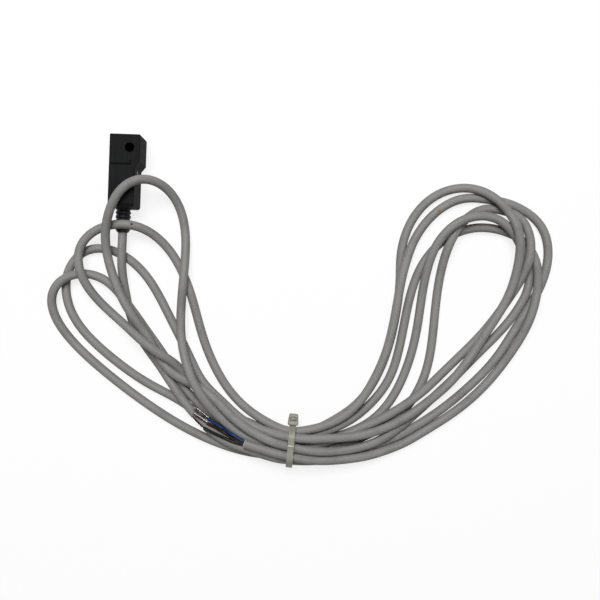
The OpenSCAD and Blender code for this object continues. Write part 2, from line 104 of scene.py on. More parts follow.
RIGHT_1 = [
    (76.5, -111.5, 5), (90.5, -107.5, 2.5), (104.5, -100.5), (117.5, -91.5), (128.5, -81.5), (137, -72),
    (143.5, -61), (149.5, -50.5), (153.5, -42), (155, -32), (153, -23.5), (146.5, -17), (137, -15.5),
    (127, -12), (118.5, -14.5), (111, -20, 2), (104.5, -30, 3.5), (101, -39.5, 4.5), (99.5, -50.5, 5),
    (98, -59.5, 5), (96, -70, 5), (91.5, -81, 5), (85, -91.5, 5), (75, -98.5, 5),
]
RIGHT_2 = [
    (75.5, -108, 8.5), (88.5, -106, 6), (100.5, -100.5, 4), (109.5, -91.5, 2), (119, -82.5),
    (129.5, -71), (138.5, -61.5), (145, -52.5), (148.5, -44.5, 2), (147.5, -36, 4), (144, -28, 5),
    (137, -21.5, 5.5), (128.5, -19.5, 7), (120.5, -22.5, 7.5), (114.5, -28, 5), (110.5, -36, 3.5),
    (109, -45.5, 2), (108, -54.5), (107, -63), (105, -72.5), (101.5, -82.5), (96.5, -91.5), (89, -98.5),
    (77, -103.5, 2),
]
RIGHT_3 = [
    (75.5, -107.5, 2), (89.5, -102.5), (102, -94), (109.5, -82.5), (112.5, -70), (113.5, -57.5),
    (114.5, -45.5), (116, -36.5, 3), (119, -27, 5), (125.5, -19, 4), (134.5, -15.5, 4.5),
    (142.5, -17.5, 5.5), (146.5, -24, 7.5), (147.5, -31.5, 8), (146.5, -37, 7.5), (143, -45.5, 5),
    (138, -54, 2.5), (131, -63.5), (121, -74, 3), (109.5, -85, 5), (96.5, -94.5, 5), (78, -103.5, 5),
]
RIGHT_4 = [
    (73, -103, 8.5), (86, -101.5, 8.5), (99.5, -97.5, 8), (110.5, -89.5, 8), (120, -81, 6.5),
    (127.5, -70.5, 5), (134.5, -58.5, 5), (141, -47, 5.5), (143, -36.5, 7.5), (142.5, -28, 8),
    (140, -20, 8), (134.5, -13.5, 8), (127, -9.5, 6), (119, -9.5, 4.5), (110.5, -13.5, 3.5),
    (104, -21.5, 2.5), (100.5, -32, 2), (100.5, -43.5), (99.5, -53), (98, -63.5), (95, -74.5),
    (89.5, -86), (82, -94.5), (72, -100.5, 2),
]
RIGHT_5 = [
    (73.5, -100, 6.5), (83.5, -96.5, 6.5), (91.5, -89.5, 5.5), (97.5, -81, 3), (100.5, -70.5),
    (102.5, -59.5), (104.5, -48.5), (108, -39), (114, -30.5), (122, -25), (131, -23.5), (140, -25.5),
    (147.5, -31.5, 2.5), (151, -39.5, 5), (150, -48.5, 5), (147.5, -59.5, 3), (140.5, -72.5),
    (130.5, -85), (118, -95.5), (104, -103.5, 3), (88, -109.5, 6), (74, -111.5, 8),
]
TAIL = [(53.5, -108.2, 8.7), (43.8, -105.6, 8.5)]

# The stage: the place under the camera, its turn, where the lamps aim, and half
# the floor's side.
VIEW_MIDDLE = (0.0632, -0.0528)
VIEW_TURN = math.radians(2)
LIT_MIDDLE = (0.063, -0.053)
FLOOR_HALF = 3
WHITE = (1, 1, 1, 1)

# The gathered runs: the tie's middle and turn, their spacing, and the heights
# of the three rows under the tie.
TIE_AT = (0.0617, -0.1065)
TIE_TURN = math.radians(-3.5)
PITCH = 0.0035
ROW_Z = (0.00285, 0.00588, 0.00891)

# What lies on the lead doesn't count this many of its last points, the cut end.
LAST_POINTS = 20

# Where each core goes beyond the cut end of the jacket: its place in the cut
# face, two bends, the end of its insulation, and the tip of its bare strands.
CORE_PLACES = {
    "blue": (1, (0.0404, -0.1031), (0.0336, -0.0998), (0.0306, -0.0978), (0.0258, -0.0944)),
    "brown": (0, (0.0402, -0.1046), (0.0338, -0.1009), (0.0306, -0.0991), (0.0256, -0.0959)),
    "black": (-1, (0.0404, -0.1056), (0.0355, -0.1037), (0.0295, -0.1009), (0.0253, -0.0971)),
}

# The strip of painted shade along each leg of the groove: the middle and half width
# across the head from its left side, then the same along it.
GROOVE_LEGS = ((0.0044, 0.0037, -0.006, 0.0004), (0.00775, 0.0004, -0.00545, 0.00095))


# Lines and surfaces


def unit(v):
    """The vectors at length one."""
    return v / np.linalg.norm(v, axis=-1, keepdims=True)


def circle(count):
    """Evenly spaced angles once round."""
    return np.linspace(0, 2 * math.pi, count, endpoint=False)


def squared(wave, power):
    """A wave from minus one to one with fuller shoulders: its size raised to a power below one."""
    return np.sign(wave) * np.abs(wave) ** power


def measure(line):
    """How far along the line each of its points lies."""
    return np.concatenate([[0], np.cumsum(np.linalg.norm(np.diff(line, axis=0), axis=1))])


def evenly(line, step):
    """The line again, with its points a step apart along it."""
    s = measure(line)
    at = np.linspace(0, s[-1], int(round(s[-1] / step)) + 1)
    return np.stack([np.interp(at, s, line[:, k]) for k in range(line.shape[1])], 1)


def rounded_line(points, parts=16):
    """A smooth line through the points: between two of them it is the cubic whose knots are spaced by the root
    of the distance, which neither loops nor overshoots at a short span."""
    p = np.asarray(points, float)
    p = np.vstack([2 * p[0] - p[1], p, 2 * p[-1] - p[-2]])
    p0, p1, p2, p3 = (p[k : len(p) - 3 + k][:, None] for k in range(4))
    t1 = np.sqrt(np.linalg.norm(p1 - p0, axis=-1, keepdims=True))
    t2 = t1 + np.sqrt(np.linalg.norm(p2 - p1, axis=-1, keepdims=True))
    t3 = t2 + np.sqrt(np.linalg.norm(p3 - p2, axis=-1, keepdims=True))
    t = t1 + (t2 - t1) * np.linspace(0, 1, parts, endpoint=False)[None, :, None]
    a1 = ((t1 - t) * p0 + t * p1) / t1
    a2 = ((t2 - t) * p1 + (t - t1) * p2) / (t2 - t1)
    a3 = ((t3 - t) * p2 + (t - t2) * p3) / (t3 - t2)
    b1 = ((t2 - t) * a1 + t * a2) / t2
    b2 = ((t3 - t) * a2 + (t - t1) * a3) / (t3 - t1)
    line = ((t2 - t) * b1 + (t - t1) * b2) / (t2 - t1)
    return np.vstack([line.reshape(-1, 3), p[-2]])


def directions(line):
    """The line's heading at each point, and the two directions square to it, level and upright."""
    ahead = unit(np.gradient(line, axis=0))
    side = unit(np.cross(ahead, [0, 0, 1.0]))
    return ahead, side, np.cross(side, ahead)


def grid_faces(rows, cols, closed):
    """The four-sided faces between the rows of a grid whose columns close on themselves; closed rows do too."""
    i = np.arange(rows if closed else rows - 1)[:, None]
    j = np.arange(cols)[None, :]
    here, over = i * cols, (i + 1) % rows * cols
    right = (j + 1) % cols
    return np.stack([here + j, over + j, over + right, here + right], -1).reshape(-1, 4)


def surface(name, grid, closed=False, values=None):
    """A closed object from a grid of points, columns running round it. Each open end gets a middle point and a
    fan of triangles. The faces are turned over if the enclosed volume comes out negative."""
    rows, cols = grid.shape[:2]
    points = grid.reshape(-1, 3)
    quads = grid_faces(rows, cols, closed)
    corner = points[quads]
    volume = np.einsum("ij,ij->", corner[:, 0], np.cross(corner[:, 1], corner[:, 2]))
    volume += np.einsum("ij,ij->", corner[:, 0], np.cross(corner[:, 2], corner[:, 3]))
    faces = quads.tolist()
    if not closed:
        j = np.arange(cols)
        following = (j + 1) % cols
        last = (rows - 1) * cols
        first_fan = np.stack([np.full(cols, len(points)), j, following], 1)
        last_fan = np.stack([np.full(cols, len(points) + 1), last + following, last + j], 1)
        points = np.vstack([points, grid[0].mean(0), grid[-1].mean(0)])
        faces += first_fan.tolist() + last_fan.tolist()
        fans = points[np.vstack([first_fan, last_fan])]
        volume += np.einsum("ij,ij->", fans[:, 0], np.cross(fans[:, 1], fans[:, 2]))
    if volume < 0:
        faces = [face[::-1] for face in faces]
    mesh = bpy.data.meshes.new(name)
    mesh.from_pydata(points.tolist(), [], faces)
    for label, value in (values or {}).items():
        extra = len(points) - len(value)
        if extra:
            value = np.concatenate([value, value[:1].repeat(1, 0), value[-1:].repeat(extra - 1, 0)])
        kind = "FLOAT_VECTOR" if value.ndim == 2 else "FLOAT"
        layer = mesh.attributes.new(label, kind, "POINT")
        layer.data.foreach_set("vector" if value.ndim == 2 else "value", value.astype(np.float32).ravel())
    mesh.shade_smooth()
    mesh.update()
    made = bpy.data.objects.new(name, mesh)
    bpy.context.scene.collection.objects.link(made)
    return made


def tube(line, radii, sides):
    """Rings of points round a line, one circle for each of its points, and the same points as if the tube were
    straight: two numbers across it and the distance along it."""
    _, side, up = directions(line)
    turn = circle(sides)
    radii = np.broadcast_to(radii, len(line))[:, None, None]
    out = np.cos(turn)[None, :, None] * side[:, None] + np.sin(turn)[None, :, None] * up[:, None]
    rings = line[:, None] + radii * out
    along = np.broadcast_to(measure(line)[:, None], (len(line), sides))
    straight = np.stack([radii[..., 0] * np.cos(turn), radii[..., 0] * np.sin(turn), along], -1)
    return rings, straight.reshape(-1, 3)


def at_tie(along, across, height):
    """Points given along the gathered cable, across it and above the floor, in the frame of the part."""
    c, s = math.cos(TIE_TURN), math.sin(TIE_TURN)
    return np.stack(
        [TIE_AT[0] + along * c - across * s, TIE_AT[1] + along * s + across * c, height + 0 * along], -1
    )


# The lead


def laid(points, way):
    """Given points in metres, those without a height on the floor, in their order or from last to first."""
    return [tuple(round(number / 1000, 6) for number in (*point, 1000 * CABLE_R)[:3]) for point in points[::way]]


def lead_route():
    """The given points of the whole lead, from inside the boot to the cut end. Between two stretches it goes
    under the tie: in a row counted from the floor, and so many places across from the middle."""
    route = laid(LEAD, 1)
    for row, across, points, way in (
        (1, -1.5, RIGHT_1, 1), (1, 1.5, LEFT_4, -1), (0, 1, RIGHT_4, -1), (2, 1, LEFT_3, -1),
        (1, -0.5, RIGHT_3, -1), (0, -1, LEFT_2, -1), (0, 0, RIGHT_2, -1), (2, 0, LEFT_1, -1),
        (1, 0.5, RIGHT_5, 1), (2, -1, TAIL, 1),
    ):
        middle = at_tie(np.zeros(1), np.full(1, across * PITCH), ROW_Z[row])[0]
        route += [tuple(middle)] + laid(points, way)
    return route


def eased(values, stiffness):
    """A row of values or points as a stiff rod would smooth it. The chord between its ends is taken off, the rest
    is continued with its sign turned so that it repeats, and each of its waves is divided by one plus the
    stiffness times the fourth power of how fast it turns from point to point."""
    values = values.reshape(len(values), -1)
    share = np.linspace(0, 1, len(values))[:, None]
    chord = values[:1] * (1 - share) + values[-1:] * share
    over = values - chord
    waves = np.fft.rfft(np.vstack([over, -over[-2:0:-1]]), axis=0)
    speed = 2 - 2 * np.cos(np.linspace(0, math.pi, len(waves)))
    smooth = np.fft.irfft(waves / (1 + stiffness * speed**2)[:, None], n=2 * (len(values) - 1), axis=0)
    return chord + smooth[: len(values)]


def pushed_apart(line, one, other, cap):
    """The line with every pair of touching stretches moved half the overlap apart and a little over, each point
    by no more than a share, the cap, of its own deepest overlap."""
    gap = line[other] - line[one]
    tiny, overshoot = 1e-12, 1.3
    distance = np.linalg.norm(gap, axis=1) + tiny
    close = distance < 2 * CABLE_R
    one, other, gap, distance = one[close], other[close], gap[close], distance[close]
    push = 0.5 * (2 * CABLE_R - distance)[:, None] * gap / distance[:, None]
    moved = np.zeros_like(line)
    np.add.at(moved, other, push)
    np.add.at(moved, one, -push)
    deepest = np.zeros(len(line))
    np.maximum.at(deepest, one, 2 * CABLE_R - distance)
    np.maximum.at(deepest, other, 2 * CABLE_R - distance)
    size = np.linalg.norm(moved, axis=1) + tiny
    return line + moved * np.minimum(1, cap * deepest / size)[:, None] * overshoot


def lifted(line, free):
    """The line raised on to the floor, the head and the boot wherever it would lie in them."""
    x, y, z = line.T
    z = np.maximum(z, CABLE_R)
    beside = 0.001
    over_head = (x > HEAD_LOW.x - beside) & (x < HEAD_HIGH.x + beside) & (y > HEAD_LOW.y) & (y < HEAD_HIGH.y)
    z = np.where(over_head & free, np.maximum(z, HEAD_HIGH.z + CABLE_R), z)
    off_axis = np.hypot(x - CABLE_AXIS[0], z - CABLE_AXIS[1])
    room = BOOT_R + CABLE_R - off_axis
    over_boot = (y > BOOT_END - beside / 2) & (y < HEAD_LOW.y + beside) & (room > 0)
    return np.stack([x, y, np.where(over_boot & free, z + room, z)], 1)


def settled(route, rounds):
    """The lead as it lies: the route is pulled down a little at a time, kept off the floor, the head, the boot
    and itself, and smoothed as a stiff cable, less so in the last rounds. The runs under the tie and in the boot
    stay where they are."""
    step, in_boot, near_boot = 0.0012, 9, 16
    near, neighbours, search_every = 0.0052, 9, 12
    sink, pull_home, share_moved = 0.00004, 0.04, 0.6
    stiff, loose, at_start, last_rounds = 30, 3, 60, 120
    line = evenly(rounded_line(route), step)
    held = (np.abs(line[:, :2] - TIE_AT) < (0.002, 0.012)).all(1)
    held[:in_boot] = True
    free = np.arange(len(line)) > near_boot
    place = line.copy()
    home = eased(line, at_start)
    home[held] = place[held]
    line = home.copy()
    for turn in range(rounds):
        closing = turn > rounds - last_rounds
        if turn % search_every == 0:
            square = (line**2).sum(1)
            apart = square[:, None] + square[None] - 2 * line @ line.T
            one, other = np.where(np.triu(apart < near**2, neighbours))
        for _ in range(2):
            line = pushed_apart(line, one, other, share_moved)
            line[held] = place[held]
        line[:, :2] += pull_home * (home[:, :2] - line[:, :2])
        if not closing:
            line[:, 2] -= sink
        line = eased(line, loose if closing else stiff)
        line = lifted(line, free)
        line[held] = place[held]
    return line


def cut_face(ring, line, wall, edge=0.0001, depth=0.0009):
    """Three more rings for a jacket that is cut square: the outer edge of the cut, its inner edge, and the end of
    the bore at a depth behind it."""
    middle = line[-1]
    ahead = unit(line[-1] - line[-2])
    out = (ring - middle) / CABLE_R
    bore = middle + out * (CABLE_R - wall)
    return np.stack([middle + out * (CABLE_R - edge), bore, bore - depth * ahead])


# Settings


def size_of(name, description, default, **limits):
    """A length that a user would change."""
    return FloatProperty(name=name, description=description, default=default, unit="LENGTH", **limits)


def colour_of(name, description, default):
    """A colour that a user would change."""
    return FloatVectorProperty(
        name=name, description=description, default=default, subtype="COLOR", min=0, max=1
    )


class LeadSettings(PropertyGroup):
    """The lead and its jacket."""

    spacing: size_of(
        "Ring spacing", "Distance between the rings of the cable's surface", 0.001, min=0.0005, max=0.002
    )
    sides: IntProperty(name="Sides", description="Points round the cable", default=18, min=8, max=24)
    rounds: IntProperty(
        name="Settling rounds", description="Steps in which the cable comes to rest",
        default=600, min=50, max=1200
    )
    wall: size_of("Jacket wall", "Thickness of the jacket at the cut end", 0.0004, min=0.0002, max=0.0008)
    colour: colour_of("Jacket colour", "Colour of the clean jacket", (0.238, 0.235, 0.229))
    grime: colour_of("Grime colour", "Colour of handling marks on the jacket", (0.11, 0.1, 0.088))


class CutEndSettings(PropertyGroup):
    """The three cores and their bare strands."""

    core: size_of("Core diameter", "Diameter of one insulated core", 0.0012)
    strand: size_of("Strand diameter", "Diameter of one bare wire", 0.00018)
    strands: IntProperty(name="Strands", description="Bare wires in each core", default=9, min=5, max=24)
    fan: size_of("Fan", "How far the strand tips spread to each side", 0.00048)
    blue: colour_of("Blue", "Colour of the blue core", (0.01, 0.028, 0.11))
    brown: colour_of("Brown", "Colour of the brown core", (0.025, 0.014, 0.008))
    black: colour_of("Black", "Colour of the black core", (0.004, 0.004, 0.0045))
    copper: colour_of("Copper", "Colour of a bare strand", (0.85, 0.55, 0.42))
    tin: colour_of("Tin", "Colour of a tinned strand", (0.93, 0.91, 0.82))


class TieSettings(PropertyGroup):
    """The cable tie round the gathered runs."""

    width: size_of("Strap width", "Width of the strap", 0.0024)
    thickness: size_of("Strap thickness", "Thickness of the strap", 0.0011)
    gap: size_of("Gap", "Clearance between the strap and the cable", 0.00005)
    head: FloatVectorProperty(
        name="Head", description="Size of the tie's head along the cable, across it and in height",
        default=(0.0035, 0.0039, 0.0044), subtype="XYZ", unit="LENGTH"
    )
    slot: size_of("Slot", "From the middle of the head to its slot", 0.0004)
    drop: size_of("Drop", "How far the head's middle lies below that of the runs", 0.0002)
    proud: size_of("Stand-off", "From the runs to the head's inner face", 0.0008)
    rib: size_of("Rib", "Height of the rib across the strap", 0.0002)
    rib_at: size_of("Rib place", "From the middle of the runs to the rib", 0.0006)
    colour: colour_of("Nylon colour", "Colour of the natural nylon", (0.265, 0.265, 0.22))


class BootSettings(PropertyGroup):
    """The ringed strain relief boot."""

    radius: size_of("Radius", "Outside radius of the boot", BOOT_R)
    length: size_of("Length", "Length outside the housing", 0.0088)
    taper: size_of("Taper", "Length of the tapered end", 0.0013)
    groove_depth: size_of("Groove depth", "Depth of a ring groove", 0.00035)
    groove_width: size_of("Groove width", "Width of a ring groove", 0.0005)
    groove_pitch: size_of("Groove pitch", "Distance between ring grooves", 0.00155)
    first_groove: size_of("First groove", "From the wall to the first groove", 0.0007)
    grooves: IntProperty(name="Grooves", description="Number of ring grooves", default=5, min=2, max=6)
    colour: colour_of("Boot colour", "Colour of the boot", (0.007, 0.007, 0.0075))


class HeadSettings(PropertyGroup):
    """The moulded head."""

    edge: size_of("Edge radius", "Rounding of the moulded edges", 0.00014)
    colour: colour_of("Head colour", "Colour of the moulded plastic", (0.0085, 0.0088, 0.0093))
    worn: colour_of("Worn colour", "Colour of rubbed edges", (0.026, 0.0265, 0.0275))
    dust: colour_of("Dust colour", "Colour of dust in corners", (0.045, 0.042, 0.036))


class StageSettings(PropertyGroup):
    """Floor, lamps and camera."""

    floor: colour_of("Floor colour", "Colour of the floor", (0.35, 0.35, 0.35))
    whiteness: FloatProperty(
        name="Whiteness", description="Share of plain white in what the camera sees of the floor",
        default=0.8, min=0, max=1, subtype="FACTOR"
    )
    sky: FloatProperty(name="Sky light", description="Strength of the light from all round", default=0.13)
    key: FloatProperty(name="Key lamp", description="Power of the large lamp", default=11.8, subtype="POWER")
    fill: FloatProperty(name="Fill lamp", description="Power of the small lamp", default=0.5, subtype="POWER")
    height: size_of("Camera height", "Height of the camera above the floor", 0.308)
    lens: FloatProperty(name="Lens", description="Focal length in millimetres", default=49.3)


# Materials


def put(tree, kind, settings=None, inputs=None):
    """Adds a shader node: settings are its own options, inputs its values or the sockets linked to them."""
    node = tree.nodes.new("ShaderNode" + kind)
    for name, value in (settings or {}).items():
        setattr(node, name, value)
    for key, value in (inputs or {}).items():
        if isinstance(value, bpy.types.NodeSocket):
            tree.links.new(value, node.inputs[key])
        else:
            node.inputs[key].default_value = value
    return node


def sums(tree, operation, first, second=0.0, third=0.0):
    """One step of arithmetic on values that change over the surface."""
    inputs = {0: first, 1: second}
    if operation in ("MULTIPLY_ADD", "COMPARE"):
        inputs[2] = third
    return put(tree, "Math", {"operation": operation}, inputs).outputs[0]


def times(tree, first, second):
    """The product of two values."""
    return sums(tree, "MULTIPLY", first, second)


def numbers(tree, vector):
    """The three numbers of a vector."""
    return put(tree, "SeparateXYZ", None, {0: vector}).outputs


def attribute(tree, name):
    """A value stored at the points of a mesh, as a vector and as a number."""
    return put(tree, "Attribute", {"attribute_name": name}).outputs


def blended(tree, share, first, second):
    """The first colour going over to the second by the share."""
    node = put(tree, "Mix", {"data_type": "RGBA"}, {0: share, 6: first, 7: second})
    return node.outputs[2]


def spread(tree, value, low, high, to_low=0.0, to_high=1.0):
    """The value stretched from one range on to another, and held at its ends."""
    inputs = {"Value": value, "From Min": low, "From Max": high, "To Min": to_low, "To Max": to_high}
    return put(tree, "MapRange", {"interpolation_type": "SMOOTHSTEP"}, inputs).outputs["Result"]


def noise(tree, place, scale, detail, roughness):
    """Cloudy values from nought to one at a place."""
    inputs = {"Vector": place, "Scale": scale, "Detail": detail, "Roughness": roughness}
    return put(tree, "TexNoise", None, inputs).outputs[0]


def effect(tree, name, inputs, outputs, build, values):
    """The outputs of a shader node group placed in a material with its own values. The group is built the first
    time that it is asked for, with its inputs and their defaults."""
    group = bpy.data.node_groups.get(name)
    if group is None:
        group = bpy.data.node_groups.new(name, "ShaderNodeTree")
        for label, value in inputs.items():
            kind = "NodeSocketFloat" if isinstance(value, float) else "NodeSocketVector"
            group.interface.new_socket(name=label, in_out="INPUT", socket_type=kind).default_value = value
        for label in outputs:
            group.interface.new_socket(name=label, in_out="OUTPUT", socket_type="NodeSocketFloat")
        given = group.nodes.new("NodeGroupInput")
        result = group.nodes.new("NodeGroupOutput")
        for label, socket in build(group, given.outputs).items():
            group.links.new(socket, result.inputs[label])
    return put(tree, "Group", {"node_tree": group}, values).outputs


def grain(material_tree, **values):
    """Moulded grain: fine cloudy bumps with a few broader ones under them."""

    def build(tree, given):
        fine = noise(tree, given["Place"], given["Scale"], 3.0, 0.6)
        broad_scale = times(tree, given["Scale"], 0.18)
        broad = noise(tree, given["Place"], broad_scale, 2.0, 0.5)
        return {"Height": sums(tree, "MULTIPLY_ADD", broad, 0.7, fine), "Tone": fine}

    inputs = {"Place": (0, 0, 0), "Scale": 6000.0}
    return effect(material_tree, "Moulded grain", inputs, ("Height", "Tone"), build, values)


def handling(material_tree, **values):
    """Handling marks: broad patches broken up by finer ones, one where it is dirtiest."""

    def build(tree, given):
        patches = noise(tree, given["Place"], given["Scale"], 5.0, 0.62)
        fine_scale = times(tree, given["Scale"], 9.0)
        fine = noise(tree, given["Place"], fine_scale, 3.0, 0.6)
        both = sums(tree, "MULTIPLY_ADD", fine, 0.35, patches)
        edge = sums(tree, "SUBTRACT", 1.0, given["Cover"])
        return {"Mask": spread(tree, both, edge, sums(tree, "ADD", edge, 0.28))}

    inputs = {"Place": (0, 0, 0), "Scale": 150.0, "Cover": 0.4}
    return effect(material_tree, "Handling marks", inputs, ("Mask",), build, values)["Mask"]


def rubbed_edges(material_tree, **values):
    """Rubbed edges of a block: of the three distances to the nearest faces, the middle one is the distance to
    the nearest edge. The mask is one on the edge and nought a width away, broken up by noise."""

    def build(tree, given):
        place, low, high = (numbers(tree, given[name]) for name in ("Place", "Low", "High"))
        near = []
        for axis in range(3):
            from_low = sums(tree, "ABSOLUTE", sums(tree, "SUBTRACT", place[axis], low[axis]))
            from_high = sums(tree, "ABSOLUTE", sums(tree, "SUBTRACT", place[axis], high[axis]))
            near.append(sums(tree, "MINIMUM", from_low, from_high))
        smaller = sums(tree, "MINIMUM", near[0], near[1])
        larger = sums(tree, "MAXIMUM", near[0], near[1])
        middle = sums(tree, "MAXIMUM", smaller, sums(tree, "MINIMUM", larger, near[2]))
        edge = spread(tree, middle, 0.0, given["Width"], 1.0, 0.0)
        broken = spread(tree, noise(tree, given["Place"], 900.0, 4.0, 0.6), 0.38, 0.68)
        return {"Mask": times(tree, edge, broken)}

    inputs = {"Place": (0, 0, 0), "Low": (0, 0, 0), "High": (1, 1, 1), "Width": 0.0004}
    return effect(material_tree, "Rubbed edges", inputs, ("Mask",), build, values)["Mask"]


def speck(material_tree, **values):
    """One small spot of dirt: a ball of a given size at a given place, with a ragged rim."""

    def build(tree, given):
        away = put(tree, "VectorMath", {"operation": "DISTANCE"}, {0: given["Place"], 1: given["Centre"]})
        ragged = noise(tree, given["Place"], 2600.0, 2.0, 0.5)
        distance = times(tree, away.outputs["Value"], sums(tree, "MULTIPLY_ADD", ragged, 1.2, 0.4))
        return {"Mask": spread(tree, distance, times(tree, given["Size"], 0.5), given["Size"], 1.0, 0.0)}

    inputs = {"Place": (0, 0, 0), "Centre": (0, 0, 0), "Size": 0.0005}
    return effect(material_tree, "Speck of dirt", inputs, ("Mask",), build, values)["Mask"]


def drawn(material_tree, **values):
    """What drawing a jacket leaves: streaks along it, and the faint swell of the twisted cores under it, which
    turns once round in a length of lay."""

    def build(tree, given):
        stretched = put(tree, "Mapping", None, {0: given["Straight"], 3: (1, 1, 0.03)})
        streaks = noise(tree, stretched.outputs[0], given["Scale"], 3.0, 0.6)
        place = numbers(tree, given["Straight"])
        around = sums(tree, "ARCTAN2", place[1], place[0])
        turns = sums(tree, "DIVIDE", place[2], given["Lay"])
        phase = sums(tree, "MULTIPLY_ADD", turns, 2 * math.pi, around)
        swell = sums(tree, "SINE", times(tree, phase, 3.0))
        return {"Streaks": streaks, "Swell": swell}

    inputs = {"Straight": (0, 0, 0), "Scale": 2600.0, "Lay": 0.03}
    return effect(material_tree, "Drawn jacket", inputs, ("Streaks", "Swell"), build, values)


def new_material(name, roughness, **uniform):
    """A material with its shader, whose uniform numbers are set on the shader's own sockets."""
    material = bpy.data.materials.new(name)
    material.use_nodes = True
    tree = material.node_tree
    shader = tree.nodes["Principled BSDF"]
    shader.inputs["Roughness"].default_value = roughness
    for key, value in uniform.items():
        shader.inputs[key.replace("_", " ")].default_value = value
    place = put(tree, "TexCoord").outputs["Object"]
    return material, tree, shader, place


def feed(tree, shader, colour=None, roughness=None, height=None, depth=0.00002, metallic=None):
    """Links what changes over the surface to the shader."""
    for key, socket in (("Base Color", colour), ("Roughness", roughness), ("Metallic", metallic)):
        if socket is not None:
            tree.links.new(socket, shader.inputs[key])
    if height is not None:
        bump = put(tree, "Bump", None, {"Height": height, "Strength": 1.0, "Distance": depth})
        tree.links.new(bump.outputs[0], shader.inputs["Normal"])


def rgba(colour):
    """A colour with its alpha."""
    return (*colour, 1.0)


def varied(tree, share, colour, low, high):
    """A colour that goes by the share from one brightness to another."""
    return blended(tree, share, rgba(c * low for c in colour), rgba(min(1, c * high) for c in colour))


def jacket_finish(s, length):
    """Grey cable jacket: satin, streaked along its length, handled, with a few specks of dirt, and paler on its
    cut face and over the last fraction of a millimetre before it."""
    material, tree, shader, place = new_material("Grey jacket", 0.55, Specular_IOR_Level=0.22)
    straight = attribute(tree, "straight")["Vector"]
    lines = drawn(tree, Straight=straight)
    fine = grain(tree, Place=straight, Scale=5200.0)
    marks = handling(tree, Place=place, Scale=95.0, Cover=0.36)
    streaked = varied(tree, spread(tree, lines["Streaks"], 0.3, 0.7), s.colour, 0.9, 1.08)
    colour = blended(tree, times(tree, marks, 0.3), streaked, rgba(s.grime))
    for centre, size, tint in (
        ((0.1136, -0.018, 0.0033), 0.0008, (0.26, 0.18, 0.02, 1)),
        ((-0.0095, -0.0464, 0.0026), 0.0008, (0.24, 0.16, 0.03, 1)),
        ((0.1089, -0.0453, 0.0038), 0.0007, (0.1, 0.12, 0.2, 1)),
        ((0.0009, -0.0273, 0.0086), 0.0006, (0.04, 0.035, 0.03, 1)),
    ):
        spot = speck(tree, Place=place, Centre=centre, Size=size)
        colour = blended(tree, spot, colour, tint)
    along = numbers(tree, straight)[2]
    # a paler colour on the cut face and just behind it
    pale_end = spread(tree, along, length - 0.0004, length - 0.0002)
    colour = blended(tree, pale_end, colour, (0.45, 0.45, 0.38, 1))
    roughness = spread(tree, sums(tree, "MULTIPLY_ADD", marks, 0.5, lines["Streaks"]), 0.2, 1.0, 0.48, 0.68)
    swell = sums(tree, "MULTIPLY_ADD", lines["Swell"], 1.2, lines["Streaks"])
    feed(tree, shader, colour, roughness, sums(tree, "MULTIPLY_ADD", fine["Height"], 0.5, swell), 0.000018)
    return material


def insulation_finish(name, colour):
    """Insulation of one core: smooth and a little glossy, scuffed by the stripping tool."""
    material, tree, shader, place = new_material(name, 0.45, Specular_IOR_Level=0.15)
    straight = attribute(tree, "straight")["Vector"]
    lines = drawn(tree, Straight=straight, Scale=5200.0, Lay=0.012)
    scuffs = handling(tree, Place=place, Scale=900.0, Cover=0.4)
    tone = varied(tree, lines["Streaks"], colour, 0.75, 1.3)
    tint = blended(tree, times(tree, scuffs, 0.2), tone, rgba([0.02 + 0.9 * c for c in colour]))
    feed(tree, shader, tint, spread(tree, scuffs, 0, 1, 0.3, 0.55), lines["Streaks"], 0.00001)
    return material


def inner_insulation_finish(name, colour):
    """Insulation of one core inside the head, with plain moulded grain."""
    material, tree, shader, place = new_material(name, 0.4)
    fine = grain(tree, Place=place, Scale=5000.0)
    tint = varied(tree, fine["Tone"], colour, 0.8, 1.25)
    feed(tree, shader, tint, spread(tree, fine["Tone"], 0.3, 0.7, 0.34, 0.5), fine["Height"], 0.00001)
    return material


def strand_finish(s):
    """Bare strands: the first of each core are bright tin with some copper, those in its middle are coloured near
    black as painted shade, and the last are dull; all are worn in patches."""
    material, tree, shader, place = new_material("Bare strands", 0.34)
    which = attribute(tree, "strand")["Fac"]
    patches = noise(tree, place, 1400.0, 3.0, 0.6)
    bright = blended(tree, spread(tree, patches, 0.45, 0.75, 0, 0.5), rgba(s.tin), rgba(s.copper))
    fading = blended(tree, spread(tree, which, 0.8, 0.85), bright, (0.16, 0.12, 0.13, 1))
    # painted shade: the wires in the middle of each spray are coloured near black
    shaded = sums(tree, "COMPARE", which, 0.5, 0.3)
    colour = blended(tree, shaded, fading, (0.012, 0.01, 0.01, 1))
    worn = spread(tree, noise(tree, place, 5200.0, 3.0, 0.6), 0.3, 0.75)
    dull = blended(tree, times(tree, worn, 0.35), colour, (0.07, 0.05, 0.04, 1))
    feed(tree, shader, dull, spread(tree, worn, 0, 1, 0.26, 0.5), patches, 0.000008,
         spread(tree, worn, 0, 1, 1.0, 0.8))
    return material


